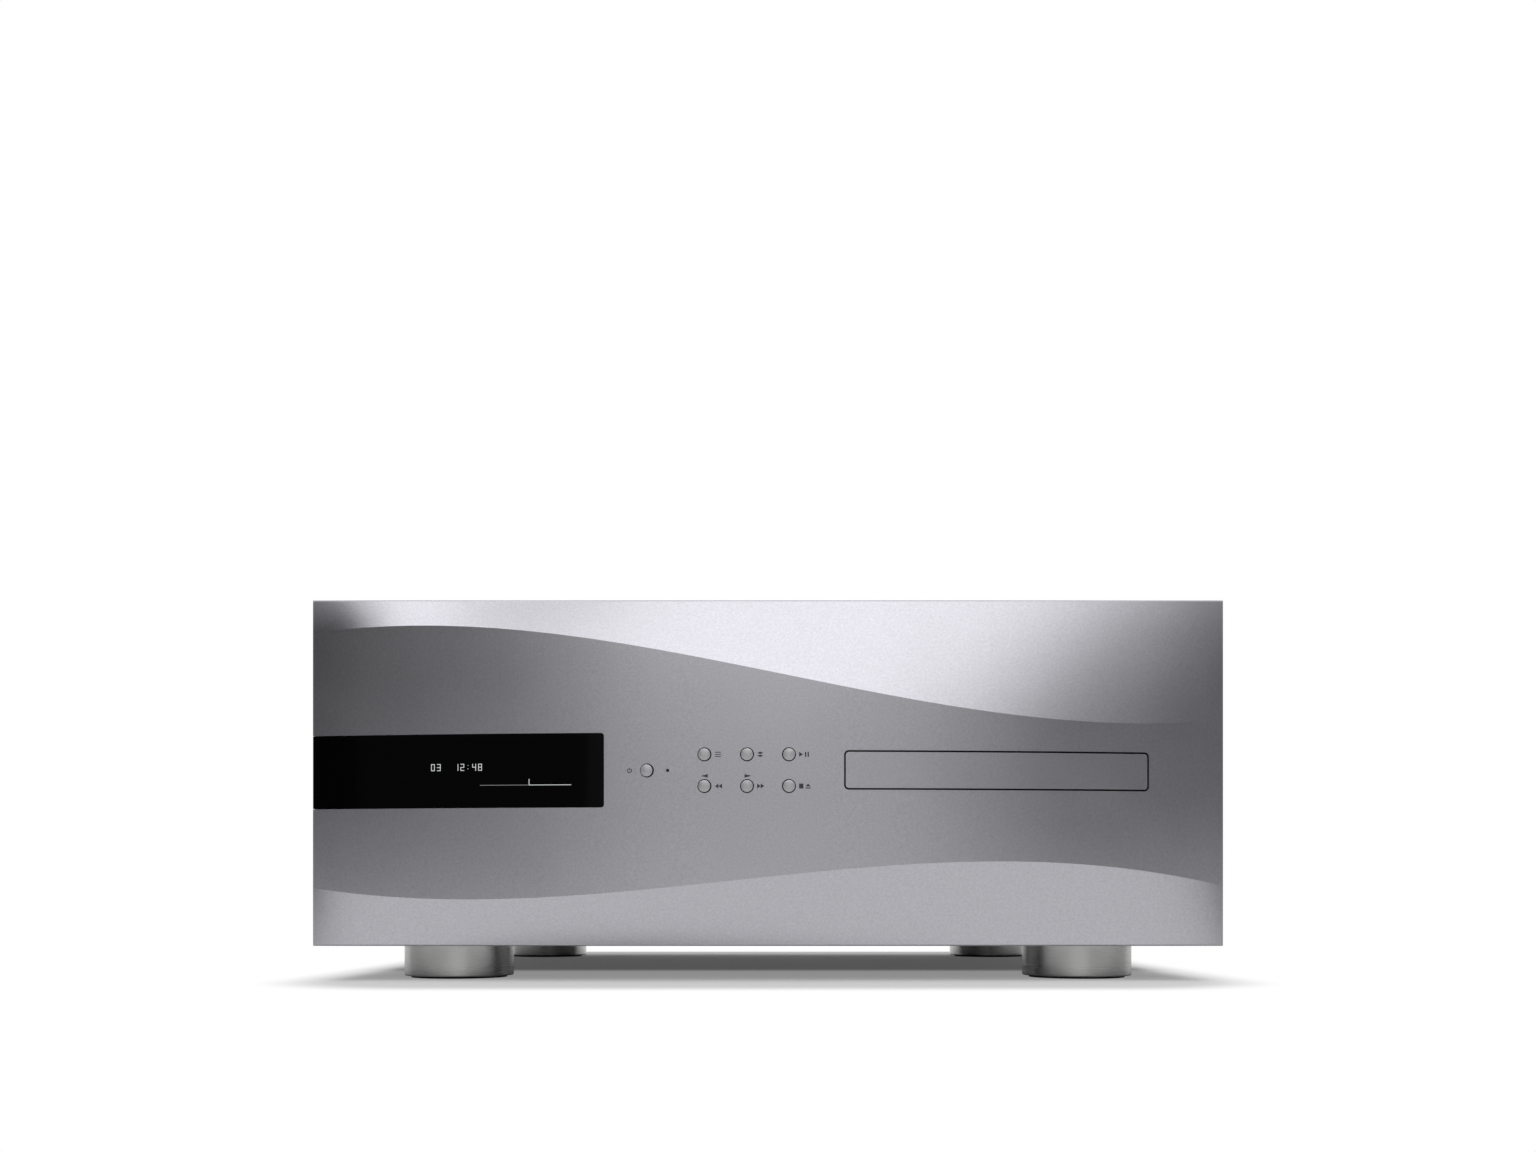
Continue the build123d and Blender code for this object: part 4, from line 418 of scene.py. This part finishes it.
coax = {"centres": ((0.124, 0.062), (0.148, 0.062), (0.172, 0.062)), "core": 0.00405, "face": 0.2133,
        "gold": (0.80, 0.58, 0.22, 1), "seat": (0.75, 0.75, 0.72, 1)}
coaxGold, tree, shader, place = startMaterial("coaxGold")
seat = doMath(tree, "MULTIPLY", nearAny(tree, place, coax["centres"], coax["core"]),
              doMath(tree, "LESS_THAN", splitVector(tree, place)["Y"], coax["face"]))
tone = mixColour(tree, seat, coax["gold"], coax["seat"])
grainOver(tree, shader, place, tone, scale=1800.0, speckle=0.04, rough=0.22, roughRange=0.05)
tree.links.new(doMath(tree, "SUBTRACT", 1.0, seat), shader.inputs["Metallic"])

inlet = {"centres": ((-0.175, 0.060), (-0.168, 0.064), (-0.161, 0.060)), "core": 0.0024, "floor": 0.1914,
         "plastic": (0.02, 0.02, 0.021, 1), "pin": (0.6, 0.59, 0.56, 1)}
inletPlastic, tree, shader, place = startMaterial("inletPlastic")
pins = doMath(tree, "MULTIPLY", nearAny(tree, place, inlet["centres"], inlet["core"]),
              doMath(tree, "GREATER_THAN", splitVector(tree, place)["Y"], inlet["floor"]))
tone = mixColour(tree, pins, inlet["plastic"], inlet["pin"])
grainOver(tree, shader, place, tone, scale=2000.0, speckle=0.10, rough=0.40, roughRange=0.05)
tree.links.new(pins, shader.inputs["Metallic"])


# Lit figures and lines in the window
def glowMaterial(name, colour):
    material, tree, shader, place = startMaterial(name, Roughness=0.5, Emission_Strength=1.0,
                                                  Base_Color=(0.01, 0.01, 0.01, 1))
    look = useGroup(tree, grain, Vector=place, Colour=(*colour, 1), Scale=3000.0, Speckle=0.05)
    tree.links.new(look.outputs["Colour"], shader.inputs["Emission Color"])
    return material


glowWhite = glowMaterial("glowWhite", (0.62, 0.64, 0.66))
glowDim = glowMaterial("glowDim", (0.16, 0.165, 0.17))
print("materials built")

# Which finish each CAD node wears
wears = {
    blastedPlate: ["front_plate"],
    trayFaceMetal: ["tray_front"],
    casePanel: ["side_left", "side_right", "top_cover", "base_plate", "rear_panel", "corner_posts",
                "mechanism_deck"],
    turnedFoot: ["foot_front_left", "foot_front_right", "foot_rear_left", "foot_rear_right"],
    domeButton: ["power_button", "menu_button", "layer_button", "play_pause_button", "rewind_button",
                 "forward_button", "stop_eject_button"],
    windowGlass: ["display_window"],
    lightLens: ["status_light"],
    footRubber: ["foot_pads", "deck_dampers"],
    beltRubber: ["drive_belt"],
    screwSteel: ["case_screws", "base_bolts", "loader_screws", "chassis_posts", "sled_rods"],
    threadedSteel: ["sled_leadscrew"],
    loaderPaint: ["loader_floor", "loader_rail_left", "loader_rail_right", "clamp_bridge", "traverse_frame"],
    trayPlastic: ["disc_tray", "clamper", "pickup_sled", "lens_holder", "turntable", "display_module"],
    gearPlastic: ["tray_pinion", "lift_pinion", "lift_cam"],
    motorCan: ["motor_pulley", "tray_motor", "lift_motor", "spindle_motor", "sled_motor"],
    circuitGreen: ["main_board", "power_board", "button_board"],
    coatedLens: ["objective_lens"],
    tapeWrap: ["toroid_transformers"],
    inletPlastic: ["mains_inlet"],
    rockerPlastic: ["power_rocker"],
    digitalMetal: ["digital_sockets"],
    coaxGold: ["coax_sockets"],
    ribbonPlastic: ["flat_cable"],
}
for material, names in wears.items():
    for name in names:
        nodes[name].data.materials.clear()
        nodes[name].data.materials.append(material)
bare = sorted(set(nodes) - {name for names in wears.values() for name in names})
print("finishes given, nodes without one:", bare)


def finishedPiece(name, mesh, material, body):
    mesh.materials.clear()
    mesh.materials.append(material)
    piece = bpy.data.objects.new(name, mesh)
    bpy.context.scene.collection.objects.link(piece)
    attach(piece, body)
    return piece


# The front plate's copy has the true surface's own normals, so reflections run smoothly over the bow
def faceY(x, z):
    upper = waveZ(x, plate["upper"])
    lower = waveZ(x, plate["lower"])
    depth = plate["edge"] - bowY(x)
    if z > upper:
        return bowY(x) + depth * (z - upper) / (plate["top"] - plate["rim"] - upper)
    if z < lower:
        return bowY(x) + depth * (lower - z) / (lower - plate["bottom"] - plate["rim"])
    return bowY(x)


def faceNormal(x, z, zone):
    step = plate["step"]
    x = min(max(x, step - plate["halfWidth"]), plate["halfWidth"] - step)
    upper = waveZ(x, plate["upper"])
    lower = waveZ(x, plate["lower"])
    if zone == "upper":
        z = max(z, upper + 2 * step)
    elif zone == "lower":
        z = min(z, lower - 2 * step)
    else:
        z = min(max(z, lower + 2 * step), upper - 2 * step)
    slopeX = (faceY(x + step, z) - faceY(x - step, z)) / (2 * step)
    slopeZ = (faceY(x, z + step / 2) - faceY(x, z - step / 2)) / step
    return Vector((slopeX, -1.0, slopeZ)).normalized()


def onFace(corner):
    low = plate["bottom"] + plate["rimInside"]
    high = plate["top"] - plate["rimInside"]
    return low < corner.z < high and abs(corner.y - faceY(corner.x, corner.z)) < plate["onFace"]


skin = bmesh.new()
skin.from_mesh(nodes["front_plate"].data)
bmesh.ops.remove_doubles(skin, verts=skin.verts, dist=plate["weld"])
plateMesh = bpy.data.meshes.new("frontPlate")
skin.to_mesh(plateMesh)
skin.free()
plateMesh.update()
loopNormals = []
for polygon in plateMesh.polygons:
    corners = [plateMesh.vertices[index].co for index in polygon.vertices]
    facing = polygon.normal.y < plate["facing"] and all(onFace(corner) for corner in corners)
    centre = polygon.center
    zone = "middle"
    if centre.z > waveZ(centre.x, plate["upper"]):
        zone = "upper"
    elif centre.z < waveZ(centre.x, plate["lower"]):
        zone = "lower"
    for corner in corners:
        loopNormals.append(faceNormal(corner.x, corner.z, zone) if facing else polygon.normal)
for polygon in plateMesh.polygons:
    polygon.use_smooth = True
plateMesh.normals_split_custom_set([tuple(normal) for normal in loopNormals])
frontPlate = finishedPiece("frontPlate", plateMesh, blastedPlate, "case")
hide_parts("front_plate")
print("front plate smoothed")


# Thin prints that follow the bow: each is a set of flat outlines in X and Z
def wrappedPrint(name, outlines, place, material, sizes):
    shape = bmesh.new()
    for outline in outlines:
        front = [shape.verts.new((place[0] + across, 0.0, place[1] + up)) for across, up in outline]
        back = [shape.verts.new((place[0] + across, 1.0, place[1] + up)) for across, up in outline]
        shape.faces.new(front)
        shape.faces.new(list(reversed(back)))
        for index in range(len(outline)):
            after = (index + 1) % len(outline)
            shape.faces.new((front[index], back[index], back[after], front[after]))
    for vert in shape.verts:
        outward = 0.0 if vert.co.y > 0.5 else sizes["thickness"]  # the back outline stands at Y 1 until here
        vert.co.y = bowY(vert.co.x) - sizes["lift"] - outward
    bmesh.ops.recalc_face_normals(shape, faces=shape.faces)
    mesh = bpy.data.meshes.new(name)
    shape.to_mesh(mesh)
    shape.free()
    return finishedPiece(name, mesh, material, "case")


def bar(left, bottom, right, top, steps=1):
    width = (right - left) / steps
    return [[(left + width * index, bottom), (left + width * (index + 1), bottom),
             (left + width * (index + 1), top), (left + width * index, top)] for index in range(steps)]


def arrow(left, width, half, way):
    tip, back = (left + width, left) if way > 0 else (left, left + width)
    return [[(back, -half), (tip, 0.0), (back, half)]]


def arcBand(radius, thick, start, stop, count=20):
    angles = [math.radians(start + (stop - start) * index / count) for index in range(count + 1)]
    parts = []
    for first, after in zip(angles, angles[1:]):
        corners = ((radius - thick, first), (radius, first), (radius, after), (radius - thick, after))
        parts.append([(reach * math.cos(angle), reach * math.sin(angle)) for reach, angle in corners])
    return parts


# Plain signs where the photograph has words, and its two small triangles
signs = {"lift": 0.00001, "thickness": 0.00002, "line": 0.00038, "half": 0.00120,
         "top": 0.1090, "bottom": 0.0939, "columns": (-0.0253, -0.0052, 0.0148),
         "standby": (-0.0662, 0.1014), "standbyArc": (120, 420), "stem": 0.00138, "menuWidth": 0.0028,
         "sheetHalf": (0.0015, 0.0006), "sheetRise": 0.0007, "play": 0.0019,
         "pause": ((0.0028, 0.00345), (0.00405, 0.0047)), "wind": 0.0017, "stop": 0.0021,
         "eject": (0.0031, 0.0055), "ejectBar": 0.0005, "ejectFoot": -0.0002,
         "marks": ((-0.0320, 0.09875), (-0.0112, 0.09875)), "markWidth": 0.0033, "markHalf": 0.00085}
line = signs["line"]
half = signs["half"]
upperPlaces = [(x, signs["top"]) for x in signs["columns"]]
lowerPlaces = [(x, signs["bottom"]) for x in signs["columns"]]
standby = arcBand(half, line, *signs["standbyArc"]) + bar(-line / 2, 0.0, line / 2, signs["stem"])
menuLines = [quad for foot in (half - line, -line / 2, -half)
             for quad in bar(0, foot, signs["menuWidth"], foot + line)]
sheetX, sheetZ = signs["sheetHalf"]
sheets = [[(0.0, z), (sheetX, z - sheetZ), (2 * sheetX, z), (sheetX, z + sheetZ)]
          for z in (signs["sheetRise"], -signs["sheetRise"])]
playPause = arrow(0, signs["play"], half, 1)
for left, right in signs["pause"]:
    playPause += bar(left, -half, right, half)
ejectLeft, ejectRight = signs["eject"]
stopEject = (bar(0, -half, signs["stop"], half) + bar(ejectLeft, -half, ejectRight, signs["ejectBar"] - half)
             + [[(ejectLeft, signs["ejectFoot"]), (ejectRight, signs["ejectFoot"]),
                 ((ejectLeft + ejectRight) / 2, half)]])
signPieces = {"standbySign": (signs["standby"], standby), "menuSign": (upperPlaces[0], menuLines),
              "layerSign": (upperPlaces[1], sheets), "playPauseSign": (upperPlaces[2], playPause)}
for name, place, way in (("rewindSign", lowerPlaces[0], -1), ("forwardSign", lowerPlaces[1], 1)):
    pair = arrow(0, signs["wind"], half, way) + arrow(signs["wind"], signs["wind"], half, way)
    signPieces[name] = (place, pair)
signPieces["stopEjectSign"] = (lowerPlaces[2], stopEject)
for name, place, way in (("leftMark", signs["marks"][0], -1), ("rightMark", signs["marks"][1], 1)):
    signPieces[name] = (place, arrow(0, signs["markWidth"], signs["markHalf"], way))
for name, (place, outlines) in signPieces.items():
    wrappedPrint(name, outlines, place, printInk, signs)
print("signs printed")

# Display: a track number, a running time and a plain progress line, dim where it has been played
shown = {"digitsAt": (-0.1626, 0.1018), "height": 0.0033, "width": 0.0018, "pitch": 0.0029,
         "stroke": 0.00030, "text": "03  12:48", "dots": (0.25, 0.7), "lineAt": (-0.1386, 0.0946),
         "lineWidth": 0.0444, "line": 0.00028, "steps": 8, "mark": 0.0240, "markHalf": 0.00015,
         "markHeight": 0.0030, "lift": 0.00001, "thickness": 0.00003}
segments = {"0": "abcdef", "1": "bc", "2": "abged", "3": "abgcd", "4": "fgbc", "5": "afgcd", "6": "afgedc",
            "7": "abc", "8": "abcdefg", "9": "abcdfg"}


def digitOutlines(character, left):
    width = shown["width"]
    height = shown["height"]
    stroke = shown["stroke"]
    middle = height / 2
    strokes = {"a": (0, height - stroke, width, height), "b": (width - stroke, middle, width, height),
               "c": (width - stroke, 0, width, middle), "d": (0, 0, width, stroke),
               "e": (0, 0, stroke, middle), "f": (0, middle, stroke, height),
               "g": (0, middle - stroke / 2, width, middle + stroke / 2)}
    if character == ":":
        right = left + width / 2
        return [quad for share in shown["dots"]
                for quad in bar(right - stroke, height * share, right, height * share + stroke)]
    quads = []
    for key in segments.get(character, ""):
        start, bottom, end, top = strokes[key]
        quads += bar(left + start, bottom, left + end, top)
    return quads


digits = []
for index, character in enumerate(shown["text"]):
    digits += digitOutlines(character, index * shown["pitch"])
mark = shown["mark"]
played = bar(0, 0, mark, shown["line"], shown["steps"])
coming = (bar(mark, 0, shown["lineWidth"], shown["line"], shown["steps"])
          + bar(mark - shown["markHalf"], 0, mark + shown["markHalf"], shown["markHeight"]))
wrappedPrint("displayDigits", digits, shown["digitsAt"], glowWhite, shown)
wrappedPrint("displayPlayed", played, shown["lineAt"], glowDim, shown)
wrappedPrint("displayLine", coming, shown["lineAt"], glowWhite, shown)
print("display drawn")


# Geometry Nodes for what repeats, each turned into a plain mesh at the end
def newTree(name, inputs):
    tree = bpy.data.node_groups.new(name, "GeometryNodeTree")
    for label, kind, value in inputs:
        tree.interface.new_socket(name=label, in_out="INPUT", socket_type=kind).default_value = value
    tree.interface.new_socket(name="Geometry", in_out="OUTPUT", socket_type="NodeSocketGeometry")
    return tree, tree.nodes.new("NodeGroupInput"), tree.nodes.new("NodeGroupOutput")


def endTree(tree, geometry, output, material):
    whole = tree.nodes.new("GeometryNodeRealizeInstances")
    tree.links.new(geometry, whole.inputs[0])
    painted = tree.nodes.new("GeometryNodeSetMaterial")
    painted.inputs["Material"].default_value = material
    tree.links.new(whole.outputs[0], painted.inputs["Geometry"])
    tree.links.new(painted.outputs[0], output.inputs[0])


def bakedPiece(name, tree, values, material, body):
    host = bpy.data.objects.new(name + "Host", bpy.data.meshes.new(name + "Host"))
    bpy.context.scene.collection.objects.link(host)
    modifier = host.modifiers.new("shape", "NODES")
    modifier.node_group = tree
    for item in tree.interface.items_tree:
        if item.item_type == "SOCKET" and item.in_out == "INPUT" and item.name in values:
            modifier[item.identifier] = values[item.name]
    bpy.context.view_layer.update()
    graph = bpy.context.evaluated_depsgraph_get()
    mesh = bpy.data.meshes.new_from_object(host.evaluated_get(graph))
    host.modifiers.remove(modifier)
    bpy.data.objects.remove(host)
    return finishedPiece(name, mesh, material, body)


# A ring of upright cylinders
def cylinderRing(name, sides, material):
    tree, given, result = newTree(name, [
        ("Ring", "NodeSocketFloat", 0.05), ("Count", "NodeSocketInt", 12),
        ("Radius", "NodeSocketFloat", 0.001), ("Height", "NodeSocketFloat", 0.001),
        ("Centre", "NodeSocketVector", (0, 0, 0))])
    circle = tree.nodes.new("GeometryNodeMeshCircle")
    tree.links.new(given.outputs["Count"], circle.inputs["Vertices"])
    tree.links.new(given.outputs["Ring"], circle.inputs["Radius"])
    upright = tree.nodes.new("GeometryNodeMeshCylinder")
    upright.inputs["Vertices"].default_value = sides
    tree.links.new(given.outputs["Radius"], upright.inputs["Radius"])
    tree.links.new(given.outputs["Height"], upright.inputs["Depth"])
    onPoints = tree.nodes.new("GeometryNodeInstanceOnPoints")
    tree.links.new(circle.outputs["Mesh"], onPoints.inputs["Points"])
    tree.links.new(upright.outputs["Mesh"], onPoints.inputs["Instance"])
    moved = tree.nodes.new("GeometryNodeTransform")
    tree.links.new(onPoints.outputs["Instances"], moved.inputs["Geometry"])
    tree.links.new(given.outputs["Centre"], moved.inputs["Translation"])
    endTree(tree, moved.outputs["Geometry"], result, material)
    return tree


# Pads in the tray that the disc rests on
pads = {"centre": (0.1104, -0.1293), "floor": 0.0996, "ring": 0.0540, "count": 6, "radius": 0.0016,
        "height": 0.0003, "sides": 20}
bakedPiece("trayPads", cylinderRing("padRing", pads["sides"], feltPad),
           {"Ring": pads["ring"], "Count": pads["count"], "Radius": pads["radius"],
            "Height": pads["height"], "Centre": (*pads["centre"], pads["floor"] + pads["height"] / 2)},
           feltPad, "tray")

# Copper turns round each transformer's rim
turns = {"centres": ((-0.1205, -0.095), (-0.1205, 0.020)), "rim": 0.0522, "middle": 0.0395, "wire": 0.0009,
         "count": 90, "height": 0.030, "sides": 8}
wireTurns = cylinderRing("wireTurns", turns["sides"], copperWire)
for index, centre in enumerate(turns["centres"]):
    bakedPiece(f"transformerTurns{index + 1}", wireTurns,
               {"Ring": turns["rim"], "Count": turns["count"], "Radius": turns["wire"],
                "Height": turns["height"], "Centre": (*centre, turns["middle"])},
               copperWire, "case")
print("repeated pieces made")

# Floor: the camera and reflections see it white away from the case, and under the case it keeps the shadow.
# The white begins past the footprint, over "shadowReach" for the camera and "mirrorReach" for reflections,
# and the shadow itself is lightened with painted white by "shadowLift", more from "frontStart" forward.
studio = {"floorHalf": 14.0, "floorColour": (0.66, 0.66, 0.66, 1), "fill": 0.45,
          "footprint": (0.158, 0.200, 0.0), "shadowReach": (0.048, 0.092), "shadowLift": (0.085, 0.26),
          "frontStart": (0.055, 0.100), "mirrorReach": (0.0, 0.02), "mirrorStretch": (0.05, 1.0, 0.0)}
floorHalf = studio["floorHalf"]
floorMesh = bpy.data.meshes.new("paleFloor")
floorMesh.from_pydata([(-floorHalf, -floorHalf, 0), (floorHalf, -floorHalf, 0), (floorHalf, floorHalf, 0),
                       (-floorHalf, floorHalf, 0)], [], [(0, 1, 2, 3)])
floor = bpy.data.objects.new("paleFloor", floorMesh)
bpy.context.scene.collection.objects.link(floor)
floorPaint, tree, shader, place = startMaterial("floorPaint", Roughness=0.75, Specular_IOR_Level=0.1)
look = useGroup(tree, grain, Vector=place, Colour=studio["floorColour"], Scale=40.0, Speckle=0.003)
tree.links.new(look.outputs["Colour"], shader.inputs["Base Color"])
beside = doVector(tree, "SUBTRACT", doVector(tree, "ABSOLUTE", place), studio["footprint"])
clear = doVector(tree, "MAXIMUM", beside)
whiteShares = []
for reach, stretch in (("shadowReach", (1.0, 1.0, 0.0)), ("mirrorReach", studio["mirrorStretch"])):
    far = doVector(tree, "LENGTH", doVector(tree, "MULTIPLY", clear, stretch))
    whiteShares.append(mapRange(tree, far, studio[reach], "SMOOTHSTEP").outputs[0])
# Painted light: the camera sees the floor's shadow mixed with white emission, more in front of the case
forward = doMath(tree, "MULTIPLY", splitVector(tree, place)["Y"], -1.0)
front = mapRange(tree, forward, studio["frontStart"], "SMOOTHSTEP")
front.inputs["To Min"].default_value, front.inputs["To Max"].default_value = studio["shadowLift"]
lift = front.outputs[0]
seenShare = doMath(tree, "MULTIPLY_ADD", whiteShares[0], doMath(tree, "SUBTRACT", 1.0, lift), lift)
straight, mirrored = rayKinds(tree)
share = doMath(tree, "MAXIMUM", doMath(tree, "MULTIPLY", seenShare, straight),
               doMath(tree, "MULTIPLY", whiteShares[1], mirrored))
blend = addNode(tree, "ShaderNodeMixShader")
tree.links.new(share, blend.inputs[0])
tree.links.new(shader.outputs[0], blend.inputs[1])
tree.links.new(addNode(tree, "ShaderNodeEmission").outputs[0], blend.inputs[2])
tree.links.new(blend.outputs[0], tree.nodes["Material Output"].inputs["Surface"])
floorMesh.materials.append(floorPaint)

# Lamps: power, width and depth, place, tilt
lamps = {"topLamp": (14.5, (2.5, 1.8), (0.2, -1.1, 1.1), 34.0),
         "backLamp": (6.0, (3.0, 2.0), (0.0, 1.0, 1.4), -25.0)}
for name, (power, extent, spot, tilt) in lamps.items():
    lampData = bpy.data.lights.new(name, "AREA")
    lampData.shape = "RECTANGLE"
    lampData.size, lampData.size_y = extent
    lampData.energy = power
    lamp = bpy.data.objects.new(name, lampData)
    lamp.location = spot
    lamp.rotation_euler = (math.radians(tilt), 0.0, 0.0)
    bpy.context.scene.collection.objects.link(lamp)


# Studio cards that only reflections see, each of one grey that fades to white from "soft" up to "top"
def studioCard(name, first, second, soft, top, grey):
    mesh = bpy.data.meshes.new(name)
    mesh.from_pydata([(*first, 0.0), (*second, 0.0), (*second, top), (*first, top)], [], [(0, 1, 2, 3)])
    card = bpy.data.objects.new(name, mesh)
    bpy.context.scene.collection.objects.link(card)
    paint, tree, shader, place = startMaterial(
        name + "Paint", Roughness=1.0, Emission_Strength=1.0, Base_Color=(0, 0, 0, 1), Specular_IOR_Level=0.0)
    fade = mapRange(tree, splitVector(tree, place)["Z"], (soft, top), "LINEAR").outputs[0]
    tone = mixColour(tree, fade, (grey, grey, grey, 1), (1, 1, 1, 1))
    look = useGroup(tree, grain, Vector=place, Colour=tone, Scale=40.0, Speckle=0.01)
    tree.links.new(look.outputs["Colour"], shader.inputs["Emission Color"])
    mesh.materials.append(paint)
    for flag in ("camera", "diffuse", "transmission", "shadow"):
        setattr(card, "visible_" + flag, False)


# Cards: two places on the floor, soft, top, grey
cards = {"leftNear": ((-0.39, -1.45), (-0.80, -1.20), 1.4, 1.7, 0.19),
         "left": ((-0.80, -1.20), (-1.75, -0.45), 1.4, 1.7, 0.01),
         "leftEnd": ((-1.75, -0.45), (-1.75, 0.6), 0.4, 0.6, 0.02),
         "right": ((0.44, -1.45), (1.75, -0.45), 0.25, 1.6, 0.07),
         "rightEnd": ((1.75, -0.45), (1.75, 0.6), 0.4, 0.6, 0.07),
         "front": ((-0.60, -1.50), (0.60, -1.50), 0.49, 0.5, 0.59)}
for name, values in cards.items():
    studioCard(name + "Card", *values)

# World: white to the camera, to mirrors and through glass, and a weaker fill on the object
world = bpy.data.worlds.new("studioWorld")
bpy.context.scene.world = world
world.use_nodes = True
tree = world.node_tree
tree.nodes.clear()
seen = doMath(tree, "MAXIMUM", *rayKinds(tree))
sky = addNode(tree, "ShaderNodeBackground")
sky.inputs["Color"].default_value = (1, 1, 1, 1)
strength = doMath(tree, "MULTIPLY_ADD", seen, 1.0 - studio["fill"], studio["fill"])
tree.links.new(strength, sky.inputs["Strength"])
tree.links.new(sky.outputs[0], addNode(tree, "ShaderNodeOutputWorld").inputs["Surface"])
bpy.context.scene.view_settings.view_transform = "Standard"
print("studio lit")
